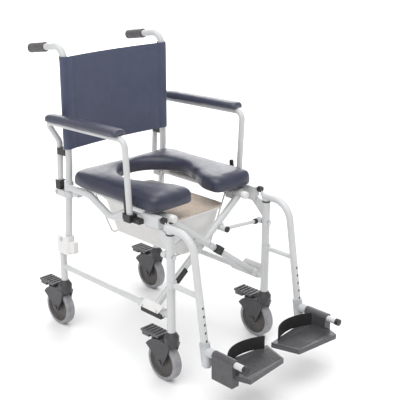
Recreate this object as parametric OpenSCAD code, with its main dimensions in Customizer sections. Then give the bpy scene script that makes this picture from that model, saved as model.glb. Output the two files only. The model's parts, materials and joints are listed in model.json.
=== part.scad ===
// Shower commode chair: folding tube frame on braked casters, with sling back, open-front seat,
// sliding pan, flip-up armrests and swing-away legrests.
// Millimetres. Front of the chair is -Y, up is +Z, the user's left is +X. The floor is Z = 0.

/* [Side frame] */
// Half the distance between the front post centre lines
post_x = 208; // [204:1:214]
// Distance from the front posts back to the rear legs
frame_depth = 532; // [526:1:540]
// Front post tube diameter
post_d = 25.4; // [24.6:0.2:26.2]
// Diameter of legs, back tubes, brace tubes and hangers
tube_d = 22.2; // [21.4:0.2:22.8]
// Tube wall thickness
tube_wall = 1.8; // [1.5:0.1:2.2]
// Underside of the posts and legs above the floor
leg_bottom_z = 170; // [168:1:174]
// Top of the front posts
post_top_z = 480; // [478:1:482]
// Top of the rear legs
leg_top_z = 334; // [326:1:336]
// Height of the lower side rails
low_rail_z = 222; // [219:1:226]
// Diameter of the lower side rails
low_rail_d = 19; // [18:0.2:19.6]
// Height of the upper side rail at the back tube
high_rail_z = 511; // [509:0.5:512]
// Drop of the upper side rail at its dip
dip_depth = 49; // [40:1:55]

/* [Back and handles] */
// Half the distance between the back tubes
back_x = 203; // [201:0.5:204]
// Distance from the rear legs forward to the back tubes
back_step = 50; // [48:1:53]
// Distance from the rear legs forward to the lower ends of the back tubes
back_foot_step = 25; // [24:0.5:27]
// Height where the leaning and the upright stretch of a back tube meet
back_bend_z = 588; // [584:1:592]
// Height of the corner where back tube and push handle meet
handle_z = 967; // [955:1:985]
// Downward slope of the push handles in degrees
handle_slope = 9; // [5:1:12]
// Bend radius between back tube and push handle
handle_bend_r = 40; // [34:1:46]
// Distance from the back tubes back to the ends of the push grips
handle_reach = 174; // [165:1:185]
// Push grip length
grip_length = 84; // [78:1:90]
// Push grip diameter
grip_d = 31; // [29:0.5:33]
// Lower edge of the sling back
sling_bottom_z = 640; // [638:1:660]
// Upper edge of the sling back
sling_top_z = 934; // [915:1:938]
// Rearward bow of the sling back
sling_bow = 16; // [8:1:24]

/* [Cross brace] */
// Half the distance between the seat rails
rail_x = 155; // [153:0.5:157]
// Height of the seat rails
rail_z = 504; // [502:0.5:505]
// Height where the brace tubes cross
cross_z = 378; // [376:0.5:380]
// Distance from the front posts back to the front brace tube
brace_depth = 52; // [51:0.5:54]
// Distance from the rear legs forward to the rear ends of the seat rails
rail_rear_step = 66; // [62:1:68]

/* [Seat and pan] */
// Half the seat width
seat_half_w = 215; // [212:0.5:216]
// Distance from the front posts back to the front edge of the seat
seat_front_depth = 62; // [58:1:70]
// Gap between the seat and the back tubes
seat_rear_gap = 3; // [2:0.5:8]
// Underside of the seat
seat_bottom_z = 526; // [525:0.5:530]
// Seat thickness
seat_thick = 48; // [44:1:52]
// Radius of the round part of the seat opening
opening_r = 118; // [110:1:122]
// Half the width of the gap between the two front lobes
throat_half_w = 48; // [42:1:56]
// Height of the cross stretch of the pan wires
wire_z = 338; // [334:1:342]
// Height of the pan rim
pan_top_z = 470; // [464:1:472]
// Half the pan width at the rim
pan_half_w = 112; // [106:1:116]
// Distance from the front posts back to the front of the pan
pan_front_depth = 90; // [88:1:94]
// Distance from the rear legs forward to the rear of the pan
pan_rear_step = 84; // [80:1:92]

/* [Armrests] */
// Armrest tube diameter
arm_d = 19; // [18.4:0.2:19.6]
// Half the distance between the rear stretches of the armrest tubes
arm_rear_x = 205; // [204:0.5:206]
// Distance from the back tubes back to the armrest hinges
arm_hinge_step = 51; // [49:0.5:53]
// Height of the armrest hinge
arm_hinge_z = 487; // [486:0.5:488]
// Half the distance between the armrest pads
arm_pad_x = 248; // [246:1:252]
// Height of the armrest tube under the rear of the pad
arm_rear_z = 729; // [723:1:733]
// Height of the armrest tube under the front of the pad
arm_front_z = 741; // [735:1:745]
// Half the distance between the lower front ends of the armrest tubes
arm_socket_x = 234; // [233:0.5:236]
// Distance from the front posts back to the front armrest tubes
arm_front_depth = 147; // [145:0.5:149]
// Distance from the ends of an armrest pad to the corners of its tube
pad_end_gap = 15; // [12:1:20]
// Armrest pad width
pad_width = 49; // [44:1:52]
// Armrest pad thickness
pad_thick = 24; // [20:1:28]

/* [Legrests] */
// Height of the top stretch of the hangers
hanger_z = 497; // [496:0.5:498]
// Distance from the front posts forward to the corner of the hangers
hanger_reach = 91; // [87:1:95]
// Forward slope of the hangers in degrees
hanger_slope = 9; // [7:0.5:10]
// Bend radius of the hangers
hanger_bend_r = 65; // [58:1:68]
// Lower end of the hangers
hanger_end_z = 112; // [108:1:114]
// Number of height holes in each hanger
hole_count = 5; // [3:1:6]
// Distance between the height holes along the hanger
hole_pitch = 25; // [22:1:26]
// Lower end of the sliding clamps
clamp_bottom_z = 118; // [117:0.5:120]
// Upper end of the sliding clamps
clamp_top_z = 187; // [184:1:188]
// Height of the footplate pivot tubes
foot_pivot_z = 163; // [161:0.5:165]
// Distance from the front posts forward to the front edge of the footplates
front_reach = 309; // [304:1:314]
// Height of the footplate upper face
foot_top_z = 130; // [128:1:131]
// Footplate thickness
foot_thick = 16; // [12:1:18]
// Half the gap between the two footplates at the rear
foot_gap = 10; // [6:1:20]

/* [Casters] */
// Wheel diameter
wheel_d = 125; // [122:1:126]
// Tyre width
tyre_w = 30; // [26:1:31]
// Distance of the axle behind the swivel axis
trail = 31; // [28:1:34]
// Distance of the pedal tip behind the swivel axis
pedal_reach = 114; // [108:1:115]

/* [Hidden] */
$fn = 64;

// Colours
white = [0.93, 0.93, 0.93];
black = [0.08, 0.08, 0.09];
dark_grey = [0.25, 0.26, 0.28];
light_grey = [0.72, 0.73, 0.75];
navy = [0.12, 0.14, 0.22];
tan_colour = [0.62, 0.55, 0.45];
steel = [0.7, 0.7, 0.72];

// Shared clearances and overruns
run_fit = 0.05;
loose_fit = 0.1;
seat_gap = 0.3;
cut_over = 1;
weld_over = 1;
bend_swell = 0.15;
bend_over = 1;

tube_r = tube_d / 2;
post_r = post_d / 2;
arm_r = arm_d / 2;

// Depths behind the front posts
back_depth = frame_depth - back_step;
back_foot_depth = frame_depth - back_foot_step;
rear_reach = back_depth + handle_reach;
rail_rear_depth = frame_depth - rail_rear_step;
seat_rear_depth = back_depth - tube_r - seat_rear_gap;
pan_rear_depth = frame_depth - pan_rear_step;
arm_hinge_depth = back_depth + arm_hinge_step;

// The origin lies midway between the foremost and the rearmost point of the chair
post_y = (front_reach - rear_reach) / 2;
leg_y = post_y + frame_depth;

// Two sides
RIGHT = -1;
LEFT = 1;
SIDES = [RIGHT, LEFT];

module on_side(side) {
    mirror([side == RIGHT ? 1 : 0, 0, 0]) children();
}

// Place a child given in X, depth behind the front posts and Z
function at(x, depth, z) = [x, post_y + depth, z];

function unit(v) = v / norm(v);
function turn_angle(u, v) = acos(unit(u) * unit(v));
function bend_tangent(path, i, radii) =
    i == 0 || i == len(path) - 1 ? 0
    : radii[i] * tan(turn_angle(path[i] - path[i - 1], path[i + 1] - path[i]) / 2);

// Straight round bar between two points
module rod(a, b, d) {
    v = b - a;
    translate(a)
        rotate([0, acos(v.z / norm(v)), atan2(v.y, v.x)])
            cylinder(h = norm(v), d = d);
}

// Round bar that turns from one direction into another at a corner.
// It is a touch thicker than the straight bars and reaches a little way over their ends.
module bent_corner(corner, dir_in, dir_out, radius, d) {
    turn = turn_angle(dir_in, dir_out);
    over_angle = bend_over / radius * 180 / PI;
    axis = unit(cross(dir_in, dir_out));
    inward = cross(axis, dir_in);
    centre = corner - dir_in * radius * tan(turn / 2) + inward * radius;
    multmatrix([
        [-inward.x, dir_in.x, axis.x, centre.x],
        [-inward.y, dir_in.y, axis.y, centre.y],
        [-inward.z, dir_in.z, axis.z, centre.z]])
        rotate([0, 0, -over_angle])
            rotate_extrude(angle = turn + 2 * over_angle)
                translate([radius, 0])
                    circle(d = d + 2 * bend_swell);
}

// Round bar along a path, with a bend radius for each of its points
module bent_rod(path, radii, d) {
    for (i = [0 : len(path) - 2]) {
        along = unit(path[i + 1] - path[i]);
        rod(path[i] + along * bend_tangent(path, i, radii),
            path[i + 1] - along * bend_tangent(path, i + 1, radii), d);
    }
    for (i = [1 : 1 : len(path) - 2])
        bent_corner(path[i], unit(path[i] - path[i - 1]), unit(path[i + 1] - path[i]), radii[i], d);
}

// The same radius for every point of a path
function all_bends(path, radius) = [for (p = path) radius];

// The same path with both ends drawn out, for cutting bores
function drawn_out(path, start, end) = [for (i = [0 : len(path) - 1])
    i == 0 ? path[0] + unit(path[0] - path[1]) * start
    : i == len(path) - 1 ? path[i] + unit(path[i] - path[i - 1]) * end
    : path[i]];

// Bar of given diameter along X, centred on a point
module bar_x(centre, length, d) {
    translate(centre) rotate([0, 90, 0]) cylinder(h = length, d = d, center = true);
}

// Bar of given diameter along Y, centred on a point
module bar_y(centre, length, d) {
    translate(centre) rotate([90, 0, 0]) cylinder(h = length, d = d, center = true);
}

// Box between two corners
module box(low, high) {
    translate(low) cube(high - low);
}

// Plate drawn in depth and height, standing in the plane of one side, centred on x
module side_plate(x, thick, outline) {
    translate([x - thick / 2, post_y, 0])
        rotate([90, 0, 90])
            linear_extrude(height = thick)
                polygon(outline);
}

// Closed skin over a row of equal rings.
// A band is a thin ring that runs out along one face and back along the other; strips close its ends.
module loft(rings, band = false) {
    n = len(rings[0]);
    last = len(rings) - 1;
    sides = [for (i = [0 : last - 1]) for (j = [0 : n - 1])
        let (k = (j + 1) % n)
        each [[i * n + j, (i + 1) * n + j, (i + 1) * n + k], [i * n + j, (i + 1) * n + k, i * n + k]]];
    first_cap = band
        ? [for (j = [0 : n / 2 - 2]) [j, j + 1, n - 2 - j, n - 1 - j]]
        : [[for (j = [0 : n - 1]) j]];
    last_cap = [for (face = first_cap) [for (k = [len(face) - 1 : -1 : 0]) last * n + face[k]]];
    polyhedron(points = [for (ring = rings) each ring], faces = concat(sides, first_cap, last_cap));
}

// How far a rounded end draws in at a distance from its tip
function end_inset(s, r) = s >= r ? 0 : r - sqrt(r * r - (r - s) * (r - s));

// Back tube line
handle_dir = [0, cos(handle_slope), -sin(handle_slope)];
back_foot_z = 280;
back_lean_r = 300;
grip_end_wall = 4;
handle_corner = at(back_x, back_depth, handle_z);
grip_end = handle_corner + handle_dir * (rear_reach - back_depth) / cos(handle_slope);
back_path = [
    at(back_x, back_foot_depth, back_foot_z),
    at(back_x, back_depth, back_bend_z),
    handle_corner,
    grip_end - handle_dir * grip_end_wall];
back_radii = [0, back_lean_r, handle_bend_r, 0];
handle_arc_start_z = handle_z - handle_bend_r * tan((90 + handle_slope) / 2);

function lean_depth(z) =
    back_foot_depth + (back_depth - back_foot_depth) * (z - back_foot_z) / (back_bend_z - back_foot_z);

// Stretch of the leaning part of a back tube, between two heights
module on_lean(z_low, z_high, d) {
    rod(at(back_x, lean_depth(z_low), z_low), at(back_x, lean_depth(z_high), z_high), d);
}

// Side frames
dip_rear_share = 0.7;
dip_low_share = 0.5;
dip_front_share = 0.37;
front_rail_z = 500;
front_box_front = 40;
front_box_rear = 116;
front_box_half_w = 10.5;
front_box_low_z = 489;
front_box_high_z = 521;
front_skirt_thick = 5;
front_skirt_low_z = 475;
rail_end_wall = 3;
rail_front_end = front_box_rear - tube_r;
high_rail_bend_r = 60;
high_rail_path = [
    at(post_x, lean_depth(high_rail_z), high_rail_z),
    at(post_x, dip_rear_share * frame_depth, high_rail_z),
    at(post_x, dip_low_share * frame_depth, high_rail_z - dip_depth),
    at(post_x, dip_front_share * frame_depth, front_rail_z),
    at(post_x, rail_front_end, front_rail_z)];
high_rail_d = tube_d;
sleeve_wall = 4;
sleeve_rise = 20;
sleeve_gap = 1.5;
gusset_thick = 8;
gusset_low_z = 428;
gusset_front = 42;
gusset_front_z = 487;
gusset_rear = 70;
gusset_top_z = 505;
gusset_knee = [60, 474];
gusset_outline = [
    [post_r - weld_over, gusset_low_z], [post_r - weld_over, post_top_z - weld_over],
    [gusset_front, gusset_front_z], [gusset_front, gusset_top_z],
    [gusset_rear, gusset_top_z], gusset_knee];
saddle_length = 26;
saddle_rear_inset = 28;
saddle_front_at = front_box_rear - saddle_length;
saddle_rear_at = rail_rear_depth - saddle_rear_inset;
saddle_lip = 15;
saddle_low_z = 485;
saddle_high_z = 507;
link_bolt_d = 8;
link_post_z = 412;

module seat_saddle(depth) {
    difference() {
        box(at(rail_x - saddle_lip, depth, saddle_low_z), at(post_x, depth + saddle_length, saddle_high_z));
        bar_y(at(rail_x, depth + saddle_length / 2, rail_z), saddle_length + 2 * cut_over,
            tube_d + 2 * seat_gap);
        box(at(rail_x - tube_r - seat_gap, depth - cut_over, rail_z),
            at(rail_x + tube_r + seat_gap, depth + saddle_length + cut_over, saddle_high_z + cut_over));
    }
}

// Box that carries the front of the seat, with a skirt down its inner side
module front_box() {
    box(at(post_x - front_box_half_w, front_box_front, front_box_low_z),
        at(post_x + front_box_half_w, front_box_rear, front_box_high_z));
    box(at(post_x - front_box_half_w, front_box_front, front_skirt_low_z),
        at(post_x - front_box_half_w + front_skirt_thick, front_box_rear, front_box_low_z + weld_over));
}

module side_frame(side) {
    post_foot = at(post_x, 0, leg_bottom_z);
    post_head = at(post_x, 0, post_top_z);
    leg_foot = at(post_x, frame_depth, leg_bottom_z);
    leg_head = at(post_x, frame_depth, leg_top_z);
    over = [0, 0, cut_over];
    sleeve_low_z = arm_hinge_z + ear_half_height + sleeve_gap;
    sleeve_high_z = high_rail_z + sleeve_rise;
    on_side(side) difference() {
        union() {
            rod(post_foot, post_head, post_d);
            rod(leg_foot, leg_head, tube_d);
            rod(at(post_x, 0, low_rail_z), at(post_x, frame_depth, low_rail_z), low_rail_d);
            bent_rod(high_rail_path, all_bends(high_rail_path, high_rail_bend_r), high_rail_d);
            on_lean(sleeve_low_z, sleeve_high_z, tube_d + 2 * sleeve_wall);
            side_plate(post_x, gusset_thick, gusset_outline);
            front_box();
            seat_saddle(saddle_front_at);
            seat_saddle(saddle_rear_at);
        }
        rod(post_foot - over, post_head + over, post_d - 2 * tube_wall);
        rod(leg_foot - over, leg_head + over, tube_d - 2 * tube_wall);
        rod(at(post_x, 0, low_rail_z), at(post_x, frame_depth, low_rail_z), low_rail_d - 2 * tube_wall);
        bent_rod(drawn_out(high_rail_path, 0, -rail_end_wall), all_bends(high_rail_path, high_rail_bend_r),
            high_rail_d - 2 * tube_wall);
        on_lean(sleeve_low_z - tube_r, sleeve_high_z + cut_over, tube_d + 2 * loose_fit);
        bar_y(at(post_x, 0, link_post_z), post_d + 2 * cut_over, link_bolt_d + 2 * loose_fit);
    }
}

module right_side_frame() {
    color(white) side_frame(RIGHT);
}

module left_side_frame() {
    color(white) side_frame(LEFT);
}

// Back tubes with the push handles
module back_tube(side) {
    on_side(side) difference() {
        bent_rod(back_path, back_radii, tube_d);
        bent_rod(drawn_out(back_path, cut_over, cut_over), back_radii, tube_d - 2 * tube_wall);
    }
}

module right_back_tube() {
    color(white) back_tube(RIGHT);
}

module left_back_tube() {
    color(white) back_tube(LEFT);
}

// Push grips with finger grooves underneath
grip_groove_count = 4;
grip_groove_depth = 2;
grip_groove_r = 9;
grip_groove_margin = 20;
grip_edge_r = 3;

module push_grip(side) {
    groove_step = (grip_length - 2 * grip_groove_margin) / (grip_groove_count - 1);
    on_side(side)
        translate(grip_end)
            rotate([90 - handle_slope, 0, 0])
                difference() {
                    rotate_extrude() {
                        square([grip_d / 2 - grip_edge_r, grip_length]);
                        translate([0, grip_edge_r])
                            square([grip_d / 2, grip_length - 2 * grip_edge_r]);
                        for (h = [grip_edge_r, grip_length - grip_edge_r])
                            translate([grip_d / 2 - grip_edge_r, h]) circle(r = grip_edge_r);
                    }
                    translate([0, 0, grip_end_wall])
                        cylinder(h = grip_length, d = tube_d + 2 * loose_fit);
                    for (i = [0 : grip_groove_count - 1])
                        translate([0, -grip_d / 2 - grip_groove_r + grip_groove_depth,
                            grip_groove_margin + i * groove_step])
                            rotate([0, 90, 0])
                                cylinder(h = grip_d, r = grip_groove_r, center = true);
                }
}

module right_push_grip() {
    color(black) push_grip(RIGHT);
}

module left_push_grip() {
    color(black) push_grip(LEFT);
}

// Blocks that clamp each back tube to its rear leg
block_wall = 5.5;
block_low_z = 276;
block_high_z = 338;
block_corner_r = 12;
block_corner_steps = 6;
block_half_w = (post_x - back_x) / 2 + tube_r + block_wall - weld_over;
block_mid_x = (post_x + back_x) / 2;
block_lug = [18, 24, 38];
block_lug_z = 304;
block_bolt_d = 5;
block_head_d = 12;
block_head_h = 4;
block_bolt_z = 326;
block_bolt_depth = (lean_depth(block_bolt_z) + frame_depth) / 2;

// Rounded rectangle about the origin, listed anticlockwise
function rounded_outline(half_w, half_l, r, steps) =
    [for (c = [[1, 1, 0], [-1, 1, 90], [-1, -1, 180], [1, -1, 270]]) for (i = [0 : steps])
        let (a = c[2] + 90 * i / steps)
        [c[0] * (half_w - r) + r * cos(a), c[1] * (half_l - r) + r * sin(a)]];

module rear_clamp_block() {
    front = lean_depth(block_high_z) - tube_r - block_wall;
    rear = frame_depth + tube_r + block_wall;
    difference() {
        union() {
            translate(at(block_mid_x, (front + rear) / 2, block_low_z))
                linear_extrude(height = block_high_z - block_low_z)
                    polygon(rounded_outline(
                        block_half_w, (rear - front) / 2, block_corner_r, block_corner_steps));
            box(at(block_mid_x - block_lug.x / 2, front - block_lug.y, block_lug_z - block_lug.z / 2),
                at(block_mid_x + block_lug.x / 2, front + block_wall, block_lug_z + block_lug.z / 2));
        }
        rod(at(post_x, frame_depth, block_low_z - cut_over), at(post_x, frame_depth, leg_top_z + loose_fit),
            tube_d + 2 * loose_fit);
        on_lean(block_low_z - 2 * cut_over, block_high_z + 2 * cut_over, tube_d + 2 * loose_fit);
        bar_x(at(block_mid_x, block_bolt_depth, block_bolt_z), 4 * block_half_w,
            block_bolt_d + 2 * loose_fit);
    }
}

module rear_clamp_blocks() {
    color(white) for (side = SIDES) on_side(side) rear_clamp_block();
}

// Bushings in the tops of the front posts, for the legrest pivots
spigot_d = 16;
bushing_flange_d = 27;
bushing_flange_h = 4;
bushing_depth = 40;

module post_bushings() {
    color(black) for (side = SIDES) on_side(side) difference() {
        union() {
            rod(at(post_x, 0, post_top_z - bushing_depth), at(post_x, 0, post_top_z),
                post_d - 2 * tube_wall - 2 * loose_fit);
            rod(at(post_x, 0, post_top_z), at(post_x, 0, post_top_z + bushing_flange_h), bushing_flange_d);
        }
        rod(at(post_x, 0, post_top_z - bushing_depth - cut_over),
            at(post_x, 0, post_top_z + bushing_flange_h + cut_over), spigot_d + 2 * run_fit);
    }
}

// Sling back, wrapped round both back tubes and bowed to the rear between them
sling_thick = 2.6;
sling_gap = 1.2;
sling_wrap_start = -90;
sling_wrap_end = 150;
sling_wrap_steps = 14;
sling_panel_steps = 8;
sling_arc_steps = 5;
sling_hem = 15;
sling_arc_z = min(handle_arc_start_z, sling_top_z - sling_hem);
sling_levels = concat(
    [sling_bottom_z, (sling_bottom_z + sling_arc_z) / 2],
    [for (i = [0 : sling_arc_steps]) sling_arc_z + (sling_top_z - sling_arc_z) * i / sling_arc_steps]);

function handle_arc_sine(z) = max(0, (z - handle_arc_start_z) / handle_bend_r);
function sling_depth(z) = back_depth + handle_bend_r * (1 - sqrt(1 - pow(handle_arc_sine(z), 2)));
function sling_wrap(z, r) = [for (i = [sling_wrap_steps : -1 : 0])
    let (a = sling_wrap_start + (sling_wrap_end - sling_wrap_start) * i / sling_wrap_steps)
    at(back_x + r * cos(a), sling_depth(z) + r * sin(a) / sqrt(1 - pow(handle_arc_sine(z), 2)), z)];
function sling_panel(z, r) = [for (i = [1 : sling_panel_steps - 1])
    let (share = 1 - 2 * i / sling_panel_steps)
    at(back_x * share,
        sling_depth(z) - r / sqrt(1 - pow(handle_arc_sine(z), 2)) + sling_bow * (1 - share * share), z)];
function across(points) = [for (i = [len(points) - 1 : -1 : 0]) [-points[i].x, points[i].y, points[i].z]];
function reversed(points) = [for (i = [len(points) - 1 : -1 : 0]) points[i]];
function sling_face(z, r) = concat(sling_wrap(z, r), sling_panel(z, r), across(sling_wrap(z, r)));
function sling_ring(z) = concat(
    sling_face(z, tube_r + sling_gap),
    reversed(sling_face(z, tube_r + sling_gap + sling_thick)));

module back_sling() {
    color(navy) loft([for (z = reversed(sling_levels)) sling_ring(z)], band = true);
}

// Cross brace: each half is a tube with a sleeve on a lower rail and a seat rail at its other end
brace_step = tube_d + 1;
brace_foot_x = post_x;
brace_rail_drop = 10;
brace_slope = (rail_z - cross_z - brace_rail_drop) / rail_x;
foot_sleeve_d = 28;
foot_sleeve_front = 26;
foot_sleeve_rear = 138;
rail_front_depth = 40;
rail_end_cap = 3;
link_lug_x = 66;
link_lug_drop = 14;
link_lug_half = 7;
link_lug_rise = 6;
link_eye_d = 20;
link_eye_length = 20;
link_bar_d = 12;
pivot_bolt_d = 8;
cover_screw_d = 4;
cover_screw_depths = [46, 108];
cover_screw_rise = 5;
cover_screw_z = low_rail_z + cover_screw_rise;
cover_thick = 5;

function brace_z(x) = cross_z + brace_slope * x;
function brace_point(depth, x) = at(x, depth, brace_z(x));

// One half, with its foot on the right lower rail and its seat rail on the left.
// Its link sits on its front (-1) or its rear (1) face.
module brace_half(depth, link_face) {
    lug_out = depth + link_face * (tube_r + link_lug_rise);
    difference() {
        union() {
            rod(brace_point(depth, -brace_foot_x), brace_point(depth, rail_x), tube_d);
            bar_y(at(-post_x, (foot_sleeve_front + foot_sleeve_rear) / 2, low_rail_z),
                foot_sleeve_rear - foot_sleeve_front, foot_sleeve_d);
            bar_y(at(rail_x, (rail_front_depth + rail_rear_depth) / 2, rail_z),
                rail_rear_depth - rail_front_depth, tube_d);
            box(at(link_lug_x - link_lug_half, min(depth, lug_out),
                    brace_z(link_lug_x) - link_lug_drop - link_lug_half),
                at(link_lug_x + link_lug_half, max(depth, lug_out), brace_z(link_lug_x)));
        }
        rod(brace_point(depth, -brace_foot_x + tube_d), brace_point(depth, rail_x), tube_d - 2 * tube_wall);
        bar_y(at(rail_x, (rail_front_depth + rail_rear_depth) / 2, rail_z),
            rail_rear_depth - rail_front_depth - 2 * rail_end_cap, tube_d - 2 * tube_wall);
        bar_y(at(-post_x, (foot_sleeve_front + foot_sleeve_rear) / 2, low_rail_z),
            foot_sleeve_rear - foot_sleeve_front + 2 * cut_over, low_rail_d + 2 * loose_fit);
        bar_y(at(0, depth, cross_z), 2 * tube_d, pivot_bolt_d + 2 * loose_fit);
        bar_y(at(link_lug_x, depth + link_face * tube_r, brace_z(link_lug_x) - link_lug_drop), 2 * tube_d,
            link_bolt_d + 2 * loose_fit);
        for (d = cover_screw_depths)
            bar_x(at(-post_x - foot_sleeve_d / 2, d, cover_screw_z), foot_sleeve_d / 2,
                cover_screw_d + 2 * loose_fit);
    }
}

module brace_right_foot() {
    color(white) brace_half(brace_depth + brace_step, -1);
}

module brace_left_foot() {
    color(white) mirror([1, 0, 0]) brace_half(brace_depth, 1);
}

// Bolt where the two brace tubes cross
bolt_head_h = 4;

module brace_pivot_bolt() {
    front = brace_depth - tube_r;
    rear = brace_depth + brace_step + tube_r;
    color(steel) {
        bar_y(at(0, (front + rear) / 2, cross_z), rear - front + 2 * weld_over, pivot_bolt_d);
        for (d = [front - bolt_head_h / 2, rear + bolt_head_h / 2])
            bar_y(at(0, d, cross_z), bolt_head_h, 2 * pivot_bolt_d);
    }
}

// Links from each brace half to its front post
brace_links_at = [[LEFT, brace_depth + brace_step, -1], [RIGHT, brace_depth, 1]];
function link_eye_depth(link) =
    link[1] + link[2] * (tube_r + link_lug_rise + loose_fit + link_eye_length / 2);
link_post_depth = post_r + loose_fit + link_eye_length / 2;
link_eye_z = brace_z(link_lug_x) - link_lug_drop;

function link_inner(link) = at(link_lug_x, link_eye_depth(link), link_eye_z);
link_outer = at(post_x, link_post_depth, link_post_z);

module brace_link(link) {
    inner = link_inner(link);
    outer = link_outer;
    difference() {
        union() {
            rod(inner, outer, link_bar_d);
            bar_y(inner, link_eye_length, link_eye_d);
            bar_y(outer, link_eye_length, link_eye_d);
        }
        bar_y(inner, 2 * link_eye_length, link_bolt_d + 2 * loose_fit);
        bar_y(outer, 2 * link_eye_length, link_bolt_d + 2 * loose_fit);
    }
}

module brace_links() {
    color(white) for (link = brace_links_at) on_side(link[0]) brace_link(link);
}

// Rubber pieces of the brace: link caps and collars, buffer, ribbed strip and the pads under the covers
link_cap_d = 19;
link_cap_h = 5;
buffer_x = 34;
buffer_size = [28, 16, 26];
strip_x = -105;
strip_size = [50, 8, 16];
link_collar_d = 18;
link_collar_from = 17;
link_collar_length = 10;
foot_pad_inset = 3;
foot_pad_low_z = 207;
foot_pad_front = 26;
foot_pad_rear = 116;
cover_out_x = post_x + foot_sleeve_d / 2 + loose_fit + cover_thick;
cover_low_z = 221;
cover_high_z = 253;
cover_slant = 25;
cover_front = 40;
cover_rear = 123;

// Block that hugs the front of a brace half
module brace_pad(depth, x, size) {
    centre = brace_point(depth, x);
    difference() {
        translate([centre.x, centre.y - tube_r, centre.z])
            rotate([0, -atan(brace_slope), 0])
                cube(size, center = true);
        rod(brace_point(depth, -brace_foot_x), brace_point(depth, rail_x), tube_d + 2 * loose_fit);
    }
}

module brace_buffers() {
    color(black) {
        for (link = brace_links_at) on_side(link[0]) {
            cap_step = (link_eye_length + link_cap_h) / 2 + loose_fit;
            bar_y(at(link_lug_x, link_eye_depth(link) + link[2] * cap_step, link_eye_z),
                link_cap_h, link_cap_d);
            inward = unit(link_inner(link) - link_outer);
            start = link_outer + inward * link_collar_from;
            difference() {
                rod(start, start + inward * link_collar_length, link_collar_d);
                rod(link_outer, link_inner(link), link_bar_d + 2 * loose_fit);
            }
        }
        mirror([1, 0, 0]) brace_pad(brace_depth, -buffer_x, buffer_size);
        brace_pad(brace_depth + brace_step, strip_x, strip_size);
        for (side = SIDES) on_side(side) difference() {
            box(at(post_x + foot_pad_inset, foot_pad_front, foot_pad_low_z),
                at(cover_out_x, foot_pad_rear, cover_low_z - loose_fit));
            bar_y(at(post_x, (foot_sleeve_front + foot_sleeve_rear) / 2, low_rail_z),
                foot_sleeve_rear, foot_sleeve_d + 2 * loose_fit);
        }
    }
}

// Bare slanted cover plates on the outer sides of the brace feet
module brace_foot_covers() {
    color(white) for (side = SIDES) on_side(side) difference() {
        side_plate(cover_out_x - cover_thick / 2, cover_thick, [
            [cover_front, cover_low_z], [cover_rear, cover_low_z],
            [cover_rear - cover_slant, cover_high_z], [cover_front - cover_slant, cover_high_z]]);
        for (d = cover_screw_depths)
            bar_x(at(cover_out_x, d, cover_screw_z), 4 * cover_thick, cover_screw_d + 2 * loose_fit);
    }
}

// Wire hangers under the seat rails, for the pan to slide on
wire_d = 5;
wire_bottom_half = 80;
wire_top_x = 148;
wire_bend_r = 18;
wire_ring_d = 28;
wire_ring_length = 8;
wire_inset = 42;
wire_front_depth = 126;
wire_depths = [wire_front_depth, rail_rear_depth - wire_inset];

module pan_hangers() {
    color(white) for (d = wire_depths) difference() {
        path = [at(-wire_top_x, d, rail_z - tube_r), at(-wire_bottom_half, d, wire_z),
            at(wire_bottom_half, d, wire_z), at(wire_top_x, d, rail_z - tube_r)];
        union() {
            bent_rod(path, all_bends(path, wire_bend_r), wire_d);
            for (x = [-rail_x, rail_x]) bar_y(at(x, d, rail_z), wire_ring_length, wire_ring_d);
        }
        for (x = [-rail_x, rail_x])
            bar_y(at(x, d, rail_z), 2 * wire_ring_length, tube_d + 2 * loose_fit);
    }
}

// Bolts, hinge pins and cover screws of the frame
screw_head_d = 8;
screw_head_h = 2;
screw_reach = 1;
arm_pin_d = 8;
arm_pin_length = 38;

module frame_bolts() {
    color(steel) {
        for (link = brace_links_at) on_side(link[0]) {
            eye_end = link_eye_depth(link) + link[2] * link_eye_length / 2;
            bar_y(at(link_lug_x, (eye_end + link[1]) / 2, link_eye_z), abs(link[1] - eye_end), link_bolt_d);
            bar_y(at(post_x, link_post_depth / 2 - loose_fit, link_post_z), link_post_depth + post_d,
                link_bolt_d);
            bar_y(at(post_x, -post_r - bolt_head_h / 2 - loose_fit, link_post_z), bolt_head_h,
                2 * link_bolt_d);
        }
        for (side = SIDES) on_side(side) {
            bar_x(at(arm_rear_x, arm_hinge_depth, arm_hinge_z), arm_pin_length, arm_pin_d);
            bar_x(at(block_mid_x, block_bolt_depth, block_bolt_z), 2 * (block_half_w + block_head_h),
                block_bolt_d);
            for (s = SIDES)
                bar_x(at(block_mid_x + s * (block_half_w + block_head_h / 2), block_bolt_depth, block_bolt_z),
                    block_head_h, block_head_d);
            for (d = cover_screw_depths) {
                bar_x(at(cover_out_x - cover_thick / 2, d, cover_screw_z), cover_thick + 2 * screw_reach,
                    cover_screw_d);
                bar_x(at(cover_out_x + screw_head_h / 2, d, cover_screw_z), screw_head_h, screw_head_d);
            }
        }
    }
}

// Hinge brackets of the armrests, clamped on the back tubes
arm_gap = 0.5;
ear_thick = 5.5;
ear_half_height = 10;
bracket_wall = 5;

module armrest_hinge_brackets() {
    inner = arm_r + arm_gap;
    color(white) for (side = SIDES) on_side(side) difference() {
        union() {
            on_lean(arm_hinge_z - ear_half_height, arm_hinge_z + ear_half_height, tube_d + 2 * bracket_wall);
            for (s = SIDES) translate([s * (inner + ear_thick / 2), 0, 0]) {
                box(at(arm_rear_x - ear_thick / 2, lean_depth(arm_hinge_z), arm_hinge_z - ear_half_height),
                    at(arm_rear_x + ear_thick / 2, arm_hinge_depth, arm_hinge_z + ear_half_height));
                bar_x(at(arm_rear_x, arm_hinge_depth, arm_hinge_z), ear_thick, 2 * ear_half_height);
            }
        }
        on_lean(arm_hinge_z - 2 * ear_half_height, arm_hinge_z + 2 * ear_half_height, tube_d + 2 * loose_fit);
        bar_x(at(arm_rear_x, arm_hinge_depth, arm_hinge_z), arm_pin_length, arm_pin_d + 2 * loose_fit);
    }
}

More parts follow.
